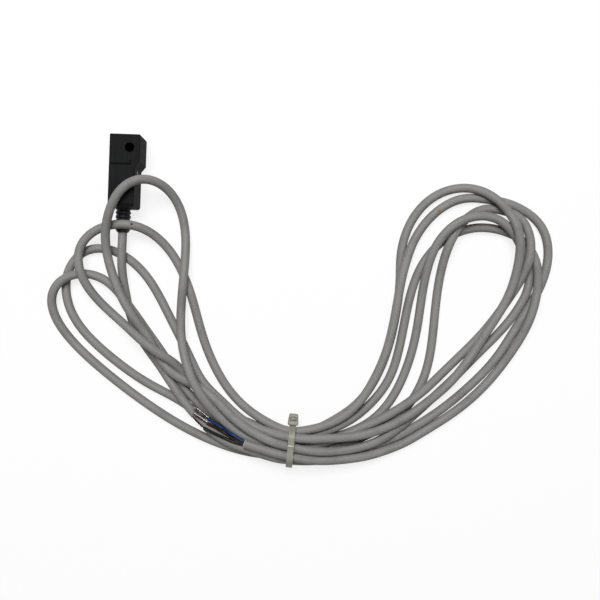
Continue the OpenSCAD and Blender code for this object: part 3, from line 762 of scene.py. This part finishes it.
def nylon_finish(s):
    """Natural nylon: milky and yellowish, lets some light in, with a soft uneven surface that is polished on the
    rib across the strap."""
    material, tree, shader, place = new_material(
        "Natural nylon", 0.3, Subsurface_Weight=0.4, Subsurface_Scale=0.0012, IOR=1.53
    )
    shader.inputs["Subsurface Radius"].default_value = (1.0, 0.9, 0.6)
    fine = grain(tree, Place=place, Scale=1700.0)
    marks = handling(tree, Place=place, Scale=420.0, Cover=0.34)
    clouds = noise(tree, place, 700.0, 3.0, 0.5)
    base = varied(tree, clouds, s.colour, 0.86, 1.12)
    colour = blended(tree, times(tree, marks, 0.35), base, (0.16, 0.16, 0.085, 1))
    uneven = spread(tree, fine["Tone"], 0.3, 0.7, 0.42, 0.55)
    from_rib = numbers(tree, place)[1]
    polished = sums(tree, "COMPARE", from_rib, TIE_AT[1] + s.rib_at, 0.0005)
    roughness = sums(tree, "SUBTRACT", uneven, times(tree, polished, 0.25))
    feed(tree, shader, colour, roughness, fine["Height"], 0.00002)
    return material


def painted_recess_shade(tree, place):
    """A mask for painted shade, one where the colour is made near black: in the hole, out to its rim, and in and
    just beside the two legs of the groove in the front face."""
    from_axis = put(tree, "Mapping", None, {0: place, 3: (1, 1, 0)}).outputs[0]
    away = put(tree, "VectorMath", {"operation": "LENGTH"}, {0: from_axis}).outputs["Value"]
    # painted shade: the hole and its rim
    mask = spread(tree, away, HOLE_R, HOLE_R + 0.0002, 1.0, 0.0)
    x, y, z = numbers(tree, place)
    at_front = sums(tree, "COMPARE", z, HEAD_HIGH.z - 0.00025, 0.0003)
    # painted shade: in and just beside each leg of the groove
    for middle_x, half_x, middle_y, half_y in GROOVE_LEGS:
        beside = sums(tree, "COMPARE", x, HEAD_LOW.x + middle_x, half_x)
        level = sums(tree, "COMPARE", y, middle_y, half_y)
        leg = times(tree, times(tree, at_front, beside), level)
        mask = sums(tree, "MAXIMUM", mask, leg)
    return mask


def head_finish(s):
    """Charcoal moulded plastic: matt grain, faint bands along it, rubbed edges, a little dust, and painted shade in
    the hole and the groove.
    """
    material, tree, shader, place = new_material("Charcoal plastic", 0.75, Specular_IOR_Level=0.08)
    fine = grain(tree, Place=place, Scale=7000.0)
    edges = rubbed_edges(tree, Place=place, Low=HEAD_LOW, High=HEAD_HIGH, Width=0.0005)
    dust = handling(tree, Place=place, Scale=260.0, Cover=0.3)
    drawn_down = put(tree, "Mapping", None, {0: place, 3: (1.0, 0.06, 1.0)}).outputs[0]
    bands = noise(tree, drawn_down, 950.0, 2.0, 0.5)
    toned = varied(tree, spread(tree, bands, 0.35, 0.65), s.colour, 0.86, 1.18)
    worn = blended(tree, times(tree, edges, 0.7), toned, rgba(s.worn))
    dusty = blended(tree, times(tree, dust, 0.12), worn, rgba(s.dust))
    # painted shade: near-black colour in the hole and in and beside the groove
    colour = blended(tree, painted_recess_shade(tree, place), dusty, (0.002, 0.002, 0.002, 1))
    roughness = spread(tree, sums(tree, "MULTIPLY_ADD", dust, 0.6, fine["Tone"]), 0.2, 1.2, 0.68, 0.9)
    feed(tree, shader, colour, roughness, fine["Height"], 0.000022)
    return material


def boot_finish(s):
    """Black elastomer of the boot with fine grain and a little dust, rougher where it is dusty."""
    material, tree, shader, place = new_material("Boot elastomer", 0.5, Specular_IOR_Level=0.2)
    fine = grain(tree, Place=place, Scale=5200.0)
    dust = handling(tree, Place=place, Scale=500.0, Cover=0.36)
    toned = varied(tree, fine["Tone"], s.colour, 0.85, 1.2)
    colour = blended(tree, times(tree, dust, 0.16), toned, (0.045, 0.042, 0.037, 1))
    feed(tree, shader, colour, spread(tree, dust, 0, 1, 0.42, 0.62), fine["Height"], 0.00002)
    return material


def resin_finish():
    """Poured black resin: glossy, with slow ripples and a few dull patches."""
    material, tree, shader, place = new_material("Poured resin", 0.2)
    ripples = noise(tree, place, 320.0, 2.0, 0.4)
    dull = handling(tree, Place=place, Scale=240.0, Cover=0.4)
    colour = blended(tree, dull, (0.014, 0.014, 0.015, 1), (0.03, 0.03, 0.03, 1))
    feed(tree, shader, colour, spread(tree, dull, 0, 1, 0.14, 0.42), ripples, 0.00012)
    return material


def window_finish():
    """Smoky yellow-green plastic of the indicator window, faintly clear and cloudy."""
    material, tree, shader, place = new_material(
        "Indicator window", 0.35, Transmission_Weight=0.2, Specular_IOR_Level=0.25
    )
    clouds = noise(tree, place, 2200.0, 3.0, 0.55)
    colour = blended(tree, clouds, (0.035, 0.033, 0.012, 1), (0.08, 0.072, 0.03, 1))
    feed(tree, shader, colour, spread(tree, clouds, 0.3, 0.7, 0.3, 0.45), clouds, 0.00001)
    return material


def laminate_finish():
    """Green board laminate over a woven cloth of glass threads."""
    material, tree, shader, place = new_material("Board laminate", 0.4)
    thread = {"Vector": place, "Scale": 700.0, "Distortion": 0.4}
    across, down = (put(tree, "TexWave", {"bands_direction": axis}, thread).outputs["Fac"] for axis in "XY")
    weave = times(tree, across, down)
    colour = blended(tree, weave, (0.012, 0.075, 0.03, 1), (0.03, 0.13, 0.05, 1))
    feed(tree, shader, colour, spread(tree, weave, 0, 1, 0.32, 0.48), weave, 0.00001)
    return material


def speckled_finish(name, dark, light, roughness, scale, metallic=0.0):
    """A plain moulded, fired or cast finish whose colour and grain vary in fine speckles."""
    material, tree, shader, place = new_material(name, roughness, Metallic=metallic)
    fine = grain(tree, Place=place, Scale=scale)
    colour = blended(tree, spread(tree, fine["Tone"], 0.3, 0.7), rgba(dark), rgba(light))
    uneven = spread(tree, fine["Tone"], 0.3, 0.7, roughness * 0.85, min(1, roughness * 1.3))
    feed(tree, shader, colour, uneven, fine["Height"], 0.000012)
    return material


def dress(made, material):
    """Gives an object one material."""
    made.data.materials.clear()
    made.data.materials.append(material)
    return made


# Operators


def rest_height(places, line, radius):
    """How high a wire of a radius lies on the settled cable or the floor at each place: over the nearest runs
    it is the top of the circle that touches both, and elsewhere the radius itself."""
    away = np.linalg.norm(places[:, None, :2] - line[None, :, :2], axis=-1)
    reach = CABLE_R + radius
    on_cable = line[None, :, 2] + np.sqrt(np.maximum(reach**2 - away**2, 0))
    return np.maximum(np.where(away < reach, on_cable, radius).max(1), radius)


def lead_line():
    """The settled middle line of the lead."""
    return np.array(bpy.data.objects["looped_lead"]["line"][:]).reshape(-1, 3)


def joined(name, pieces):
    """Several objects as one."""
    with bpy.context.temp_override(
        active_object=pieces[0], object=pieces[0], selected_objects=pieces, selected_editable_objects=pieces
    ):
        bpy.ops.object.join()
    pieces[0].name = name
    pieces[0].data.name = name
    return pieces[0]


class SENSOR_OT_stage(Operator):
    """Set up the camera over the loops, the pale floor and the soft lamps"""

    bl_idname = "sensor_switch.stage"
    bl_label = "Camera, floor and lamps"

    def execute(self, context):
        s = context.scene.sensor_stage
        lens = bpy.data.cameras.new("camera")
        lens.lens = s.lens
        lens.sensor_width = 36
        lens.clip_start = 0.005
        camera = bpy.data.objects.new("camera", lens)
        camera.location = (*VIEW_MIDDLE, s.height)
        camera.rotation_euler = (0, 0, VIEW_TURN)
        context.scene.collection.objects.link(camera)
        context.scene.camera = camera
        context.scene.view_settings.view_transform = "Standard"
        self.lay_floor(context, s)
        self.open_sky(context, s)
        self.hang_lamps(context, s)
        return {"FINISHED"}

    def lay_floor(self, context, s):
        """A level square at the foot of the part. What the camera sees of it is mostly plain white, but not
        through the screw hole, where it lies in the dark."""
        mesh = bpy.data.meshes.new("floor")
        corners = [(x * FLOOR_HALF, y * FLOOR_HALF, 0) for x, y in ((-1, -1), (1, -1), (1, 1), (-1, 1))]
        mesh.from_pydata(corners, [], [(0, 1, 2, 3)])
        floor = bpy.data.objects.new("floor", mesh)
        context.scene.collection.objects.link(floor)
        material, tree, shader, place = new_material("Pale floor", 0.7, Specular_IOR_Level=0.1)
        faint = noise(tree, place, 40.0, 3.0, 0.5)
        seen = self.looked_at(tree)
        feed(tree, shader, blended(tree, seen, varied(tree, faint, s.floor, 0.99, 1), WHITE))
        white = put(tree, "Emission", None, {"Color": WHITE, "Strength": 1.0}).outputs[0]
        from_hole = put(tree, "VectorMath", {"operation": "LENGTH"}, {0: place}).outputs["Value"]
        open_floor = spread(tree, from_hole, HOLE_R, HOLE_R + 0.0004, 0.0, s.whiteness)
        share = times(tree, seen, open_floor)
        both = put(tree, "MixShader", None, {0: share, 1: shader.outputs[0], 2: white}).outputs[0]
        tree.links.new(both, tree.nodes["Material Output"].inputs["Surface"])
        floor.data.materials.append(material)

    def open_sky(self, context, s):
        """A plain sky, white to the camera and dimmer as a light."""
        world = bpy.data.worlds.new("sky")
        world.use_nodes = True
        context.scene.world = world
        tree = world.node_tree
        strength = spread(tree, self.looked_at(tree), 0, 1, s.sky, 1.0)
        tree.nodes["Background"].inputs["Color"].default_value = WHITE
        tree.links.new(strength, tree.nodes["Background"].inputs["Strength"])

    def looked_at(self, tree):
        """One for what the camera sees, by itself, through glass or in a gloss."""
        seen = put(tree, "LightPath").outputs
        bent = sums(tree, "MAXIMUM", seen["Is Glossy Ray"], seen["Is Transmission Ray"])
        return sums(tree, "MAXIMUM", seen["Is Camera Ray"], bent)

    def hang_lamps(self, context, s):
        """A large soft lamp beyond the head's top, and a smaller one opposite, both aimed at the loops."""
        middle = Vector((*LIT_MIDDLE, 0))
        for name, power, size, place in (
            ("key_lamp", s.key, 0.55, (-0.1, 0.45, 1.0)),
            ("fill_lamp", s.fill, 0.9, (0.7, -0.6, 0.9)),
        ):
            light = bpy.data.lights.new(name, "AREA")
            light.energy = power
            light.size = size
            lamp = bpy.data.objects.new(name, light)
            lamp.location = middle + Vector(place)
            lamp.rotation_euler = (-Vector(place)).to_track_quat("-Z", "Y").to_euler()
            context.scene.collection.objects.link(lamp)


class SENSOR_OT_lead(Operator):
    """Lay the 2.5 m lead in its loops and let it settle"""

    bl_idname = "sensor_switch.lead"
    bl_label = "Looped lead"

    def execute(self, context):
        s = context.scene.sensor_lead
        line = settled(lead_route(), s.rounds)
        line = evenly(rounded_line(line, 4), s.spacing)[:-1]
        rings, straight = tube(line, CABLE_R, s.sides)
        rings = np.concatenate([rings, cut_face(rings[-1], line, s.wall)])
        straight = np.vstack([straight, np.tile(straight[-s.sides :], (3, 1))])
        lead = surface("looped_lead", rings, values={"straight": straight})
        dress(lead, jacket_finish(s, measure(line)[-1]))
        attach(lead, "root")
        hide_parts("sensor_lead", "cable_over_head", "cable_over_boot", "cable_hank", "cable_tail")
        lead["line"] = line.ravel().tolist()
        return {"FINISHED"}


class SENSOR_OT_cut_end(Operator):
    """Make the three stripped cores and their bare strands"""

    bl_idname = "sensor_switch.cut_end"
    bl_label = "Cores and bare strands"

    def execute(self, context):
        s = context.scene.sensor_cut_end
        bare = strand_finish(s)
        line = lead_line()
        for name, (k, *bends, tip) in CORE_PLACES.items():
            path = self.core_path(line, s, k, bends)
            self.add_core(name, path, s)
            self.add_strands(name, path[-1], np.array(tip), s, k, bare)
        return {"FINISHED"}

    def core_path(self, line, s, k, bends):
        """From its place in the cut face the core runs straight out, then bends down until it lies on the runs
        below: its height is a smooth blend from the cut face to the height at which it rests."""
        inside, off_middle, straight_out, blend_length = 0.0007, 0.00066, 0.0013, 0.008
        ahead, side, up = (d[-1] for d in directions(line))
        turn = math.radians(90 - 120 * k)
        root = line[-1] - inside * ahead + off_middle * (math.cos(turn) * side + math.sin(turn) * up)
        out = root + straight_out * ahead
        flat = evenly(rounded_line([root, out] + [(*bend, out[2]) for bend in bends], 12), 0.0004)
        rest = eased(rest_height(flat, line[:-LAST_POINTS], s.core / 2), 40)[:, 0]
        share = np.clip(measure(flat) / blend_length, 0, 1)
        share = share * share * (3 - 2 * share)
        flat[:, 2] = flat[:, 2] * (1 - share) + rest * share
        return flat

    def add_core(self, name, path, s):
        """One insulated core as a tube, drawn in a little where the stripper cut it."""
        pinched, pinch_length, sides = 0.1, 0.0004, 14
        left = np.clip((measure(path)[-1] - measure(path)) / pinch_length, 0, 1)
        rings, straight = tube(path, s.core / 2 * (1 - pinched + pinched * left), sides)
        core = surface(name + "_core", rings, values={"straight": straight})
        dress(core, insulation_finish(name.capitalize() + " insulation", getattr(s, name)))
        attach(core, "root")
        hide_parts(name + "_core_end")

    def add_strands(self, name, start, tip, s, k, bare):
        """A flat spray of wires side by side: each starts at its own place in the core, bows a little, and ends at
        its own tip. Those in the middle lie lower, and their darker colour is painted shade. The bow and the reach
        follow sines of the wire's number."""
        root_half, in_core, wobble, uneven = 0.00042, 0.0006, 0.00003, 0.05
        middle_lift, edge_lift, least_lift = 0.0001, 0.00015, 0.00005
        wires = np.arange(s.strands)
        lane = squared(2 * wires / (s.strands - 1) - 1, 0.6) * (1 if k >= 0 else -1)
        ahead = unit(np.array([tip[0] - start[0], tip[1] - start[1], 0.0]))
        side = np.array([-ahead[1], ahead[0], 0.0])
        root = start - in_core * ahead + (root_half * lane)[:, None] * side
        across = s.fan * lane + wobble * np.sin(5.1 * wires + k)
        reach = np.linalg.norm(tip - start[:2]) * (1 + uneven * np.sin(3.7 * wires + 2 * k))
        end = start + reach[:, None] * ahead + across[:, None] * side
        share = np.linspace(0, 1, 14)[None, :, None]
        bow = (wobble * np.sin(2.3 * wires + 1 + k))[:, None, None] * np.sin(math.pi * share) * side
        paths = root[:, None] * (1 - share) + end[:, None] * share + bow
        lying_on = lead_line()[:-LAST_POINTS]
        rest = rest_height(paths.reshape(-1, 3), lying_on, s.strand / 2).reshape(paths.shape[:2])
        ease = share[..., 0] ** 1.5
        lift = middle_lift + edge_lift * np.abs(lane)[:, None]
        falling = (1 - ease) * root[:, None, 2] + ease * (rest + lift)
        paths[..., 2] = np.maximum(falling, rest + least_lift)
        pieces = []
        for wire, path in enumerate(paths):
            rings = tube(path, s.strand / 2, 6)[0]
            # the wire's number picks its colour in the finish: the middle ones get painted shade
            tone = np.full(rings.shape[0] * rings.shape[1], wire / (s.strands - 1))
            pieces.append(surface(f"{name}_wire_{wire}", rings, values={"strand": tone}))
        bundle = joined(name + "_strand_fan", pieces)
        dress(bundle, bare)
        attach(bundle, "root")
        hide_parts(name + "_strands")


class SENSOR_OT_tie(Operator):
    """Put the cable tie round the gathered runs"""

    bl_idname = "sensor_switch.tie"
    bl_label = "Cable tie"

    def execute(self, context):
        s = context.scene.sensor_tie
        nylon = nylon_finish(s)
        tie = joined("nylon_tie", [self.strap(s), self.head(s), self.free_end(s)])
        dress(tie, nylon)
        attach(tie, "root")
        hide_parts("cable_tie")
        return {"FINISHED"}

    def strap(self, s):
        """A flat strap carried round the gathered runs. Its line holds an even distance from them: for each
        direction it is the furthest run's centre plus the distance, and straight between the corner runs. Its
        outer face is a little hollow across, and one low rib crosses it on top."""
        step, hollow, rib_width = 0.00022, 0.00012, 0.0003
        runs = np.array(
            [(side * PITCH * (1.5 if row == 1 else 1), ROW_Z[row]) for row in range(3) for side in (-1, 1)]
        )
        turn = np.linspace(0, 2 * math.pi, 1441)
        heading = np.stack([np.cos(turn), np.sin(turn)], 1)
        reach = CABLE_R + s.gap + s.thickness / 2
        line = runs[(runs @ heading.T).argmax(0)] + reach * heading
        line = evenly(line, step)[:-1]
        ahead = unit(np.roll(line, -2, 0) - np.roll(line, 2, 0))
        out = np.stack([ahead[:, 1], -ahead[:, 0]], 1)
        edge = circle(28)
        wide = s.width / 2 * squared(np.cos(edge), 0.35)
        thick = s.thickness / 2 * squared(np.sin(edge), 0.45)
        thick = thick - hollow * (thick > 0) * (1 - (2 * np.abs(wide) / s.width) ** 4)
        rib = s.rib * np.exp(-(((line[:, 0] - s.rib_at) / rib_width) ** 2)) * (line[:, 1] > ROW_Z[1])
        thick = thick[None] + rib[:, None] * (thick > 0)
        place = line[:, None] + thick[..., None] * out[:, None]
        grid = at_tie(np.broadcast_to(wide, place.shape[:2]), place[..., 0], place[..., 1])
        return surface("strap", grid, closed=True)

    def head(self, s):
        """The tie's head: a rounded block with a slot through its height. The grid goes up the outside, over the
        rim, and down through the slot, so that it closes on itself."""
        edge, slot_half, narrowing = 0.0004, (0.00127, 0.00057), 0.1
        long, wide, high = s.head
        inner = 1.5 * PITCH + CABLE_R + s.gap + s.proud
        turn = circle(48)
        square = np.stack([squared(np.cos(turn), 0.3), squared(np.sin(turn), 0.3)], 1)
        fall = np.linspace(0, math.pi / 2, 5)
        rows = [
            (1 - edge / long * 2 * (1 - math.cos(f)), end * (high / 2 - edge * (1 - math.sin(f))))
            for end, angles in ((-1, fall[::-1]), (1, fall)) for f in angles
        ]
        narrower = 1 + narrowing / 2 - narrowing * square[:, 1]
        body = np.stack([square[:, 0] * long / 2 * narrower, square[:, 1] * wide / 2], 1)
        slot = square * slot_half + [0, s.slot]
        rings = [(body * k, z) for k, z in rows] + [(slot, high / 2), (slot, -high / 2)]
        height = ROW_Z[1] - s.drop
        grid = np.stack([
            at_tie(ring[:, 0], inner + wide / 2 + ring[:, 1], np.full(len(ring), height + z)) for ring, z in rings
        ])
        return surface("head", grid, closed=True)

    def free_end(self, s):
        """The strap's free end in the slot: a flat bar with toothed sides, cut off a little above the head."""
        below, above, half_thick, tooth, tooth_depth = 0.0004, 0.00005, 0.00056, 0.0005, 0.12
        inner = 1.5 * PITCH + CABLE_R + s.gap + s.proud + s.head[1] / 2 + s.slot
        rise = np.linspace(-s.head[2] / 2 - below, s.head[2] / 2 + above, 45)
        turn = circle(20)
        wide = s.width / 2 * squared(np.cos(turn), 0.3)
        thick = half_thick * squared(np.sin(turn), 0.3)
        teeth = 1 - tooth_depth * (((rise[-1] - rise) / tooth) % 1)
        shape = (len(rise), len(turn))
        height = np.broadcast_to((ROW_Z[1] - s.drop + rise)[:, None], shape)
        grid = at_tie(np.broadcast_to(wide, shape), inner + thick[None] * teeth[:, None], height)
        return surface("free_end", grid)


class SENSOR_OT_boot(Operator):
    """Turn the ringed strain relief boot"""

    bl_idname = "sensor_switch.boot"
    bl_label = "Strain relief boot"

    def execute(self, context):
        s = context.scene.sensor_boot
        boot = surface("ringed_boot", self.turned(s), closed=True)
        dress(boot, boot_finish(s))
        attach(boot, "root")
        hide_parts("strain_relief_boot")
        return {"FINISHED"}

    def turned(self, s):
        """A profile turned about the cable's axis: flange, neck, and a sleeve whose radius dips in smooth grooves
        and narrows along the taper, then back along the bore. The parts inside the wall are pairs of the place
        along the axis and the radius."""
        lip_size, wall_end, clearance, fall, step_in = 0.00025, 0.00025, 0.00002, 0.0002, 0.0001
        inside = np.array([(-0.002, 0.0026), (-0.002, 0.0027), (-0.0012, 0.0027), (-0.0012, 0.0023), (0, 0.0023)])
        out = np.linspace(0, s.length - lip_size, 220)
        middles = s.first_groove + s.groove_pitch * np.arange(s.grooves)
        dip = np.exp(-(((out[:, None] - middles) / (0.62 * s.groove_width)) ** 4)).sum(1)
        narrow = np.clip((out - (s.length - s.taper)) / s.taper, 0, 1)
        radius = s.radius - s.groove_depth * dip - (s.radius - CABLE_R - wall_end) * narrow**1.3
        radius[0] = s.radius - step_in
        rounding = np.linspace(0, math.pi / 2, 5)[1:]
        lip = radius[-1] - fall * (1 - np.cos(rounding))
        lip_out = out[-1] + lip_size * np.sin(rounding)
        bore = CABLE_R + clearance
        far = np.concatenate([inside[:, 0], out, lip_out, [s.length, inside[0, 0]]])
        wide = np.concatenate([inside[:, 1], radius, lip, [bore, bore]])
        turn = circle(64)
        x = CABLE_AXIS[0] + wide[:, None] * np.cos(turn)
        z = CABLE_AXIS[1] + wide[:, None] * np.sin(turn)
        y = np.broadcast_to((HEAD_LOW.y - far)[:, None], x.shape)
        return np.stack([x, y, z], -1)


class SENSOR_OT_head(Operator):
    """Round the moulded head's edges and finish it, the window and the resin"""

    bl_idname = "sensor_switch.head"
    bl_label = "Moulded head"

    def execute(self, context):
        s = context.scene.sensor_head
        head = self.rounded_copy("housing", "moulded_head", s.edge)
        dress(head, head_finish(s))
        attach(head, "root")
        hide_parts("housing")
        dress(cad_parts["potting_fill"], resin_finish())
        dress(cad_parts["indicator_window"], window_finish())
        return {"FINISHED"}

    def rounded_copy(self, node, name, edge):
        """A copy of a solid with its corners merged, its flat faces made whole, and its sharp edges rounded: most
        by the given radius, the hole's rim in front more, and the upright edges at the cable's end the widest."""
        sharp, widest, back_part = math.radians(25), 0.0007, 0.004
        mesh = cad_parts[node].data.copy()
        mesh.name = name
        work = bmesh.new()
        work.from_mesh(mesh)
        bmesh.ops.remove_doubles(work, verts=work.verts, dist=1e-6)
        bmesh.ops.dissolve_limit(
            work, angle_limit=math.radians(0.5), verts=work.verts, edges=work.edges, delimit=set()
        )
        weight = work.edges.layers.float.new("bevel_weight_edge")
        for seam in work.edges:
            if seam.calc_face_angle(0) > sharp:
                one, other = (v.co for v in seam.verts)
                upright = (one - other).normalized().z ** 2 > 0.99
                at_cable = max(one.y, other.y) < HEAD_LOW.y + 1e-5
                at_hole = max(one.xy.length, other.xy.length) < HOLE_R and one.z > back_part
                seam[weight] = 1.0 if upright and at_cable else 0.4 if at_hole else edge / widest
        work.to_mesh(mesh)
        work.free()
        mesh.shade_smooth()
        made = bpy.data.objects.new(name, mesh)
        bpy.context.scene.collection.objects.link(made)
        bevel = made.modifiers.new("rounded edges", "BEVEL")
        bevel.width = widest
        bevel.segments = 4
        bevel.limit_method = "WEIGHT"
        flat = made.modifiers.new("flat faces", "WEIGHTED_NORMAL")
        flat.weight = 100
        return made


class SENSOR_OT_circuit(Operator):
    """Finish the board, its parts and the cores inside the head"""

    bl_idname = "sensor_switch.circuit"
    bl_label = "Circuit and inner cores"

    def execute(self, context):
        cores = context.scene.sensor_cut_end
        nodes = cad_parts
        black_body = speckled_finish("Component body", (0.012, 0.012, 0.013), (0.024, 0.024, 0.025), 0.6, 6500.0)
        dress(nodes["circuit_board"], laminate_finish())
        for node in ("sensing_chip", "output_transistor", "surge_diode", "series_resistor"):
            dress(nodes[node], black_body)
        for node, *finish in (
            ("filter_capacitor", "Ceramic", (0.3, 0.2, 0.12), (0.42, 0.3, 0.18), 0.45, 4200.0),
            ("indicator_lamp", "Lamp resin", (0.6, 0.6, 0.42), (0.75, 0.74, 0.55), 0.2, 3000.0),
            ("solder_joints", "Solder", (0.5, 0.5, 0.52), (0.7, 0.7, 0.72), 0.3, 3200.0, 1.0),
        ):
            dress(nodes[node], speckled_finish(*finish))
        for name in CORE_PLACES:
            finish = inner_insulation_finish(name.capitalize() + " insulation inside", getattr(cores, name))
            dress(nodes[name + "_core_inner"], finish)
        return {"FINISHED"}


class SENSOR_OT_declare(Operator):
    """A step that does nothing"""

    bl_idname = "sensor_switch.declare"
    bl_label = "Lead's length"

    def execute(self, context):
        return {"FINISHED"}


class SENSOR_PT_panel(Panel):
    """Lists the pieces of the switch and their settings."""

    bl_idname = "SENSOR_PT_panel"
    bl_label = "Sensor switch"
    bl_space_type = "VIEW_3D"
    bl_region_type = "UI"
    bl_category = "Sensor switch"

    def draw(self, context):
        for operator, settings in STEPS:
            box = self.layout.box()
            box.operator(operator.bl_idname)
            if settings:
                group = getattr(context.scene, settings)
                for name in group.__annotations__:
                    box.prop(group, name)


STEPS = (
    (SENSOR_OT_stage, "sensor_stage"),
    (SENSOR_OT_lead, "sensor_lead"),
    (SENSOR_OT_cut_end, "sensor_cut_end"),
    (SENSOR_OT_tie, "sensor_tie"),
    (SENSOR_OT_boot, "sensor_boot"),
    (SENSOR_OT_head, "sensor_head"),
    (SENSOR_OT_circuit, None),
    (SENSOR_OT_declare, None),
)

GROUPS = {
    "sensor_stage": StageSettings,
    "sensor_lead": LeadSettings,
    "sensor_cut_end": CutEndSettings,
    "sensor_tie": TieSettings,
    "sensor_boot": BootSettings,
    "sensor_head": HeadSettings,
}

CLASSES = (*GROUPS.values(), *(operator for operator, _ in STEPS), SENSOR_PT_panel)


def register():
    for cls in CLASSES:
        bpy.utils.register_class(cls)
    for name, group in GROUPS.items():
        setattr(bpy.types.Scene, name, PointerProperty(type=group))


def unregister():
    for name in GROUPS:
        delattr(bpy.types.Scene, name)
    for cls in reversed(CLASSES):
        bpy.utils.unregister_class(cls)


def main():
    """Makes every piece in order."""
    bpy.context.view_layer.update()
    register()
    bpy.ops.sensor_switch.stage()
    bpy.ops.sensor_switch.lead()
    bpy.ops.sensor_switch.cut_end()
    bpy.ops.sensor_switch.tie()
    bpy.ops.sensor_switch.boot()
    bpy.ops.sensor_switch.head()
    bpy.ops.sensor_switch.circuit()
    bpy.ops.sensor_switch.declare()


if __name__ == "__main__":
    main()
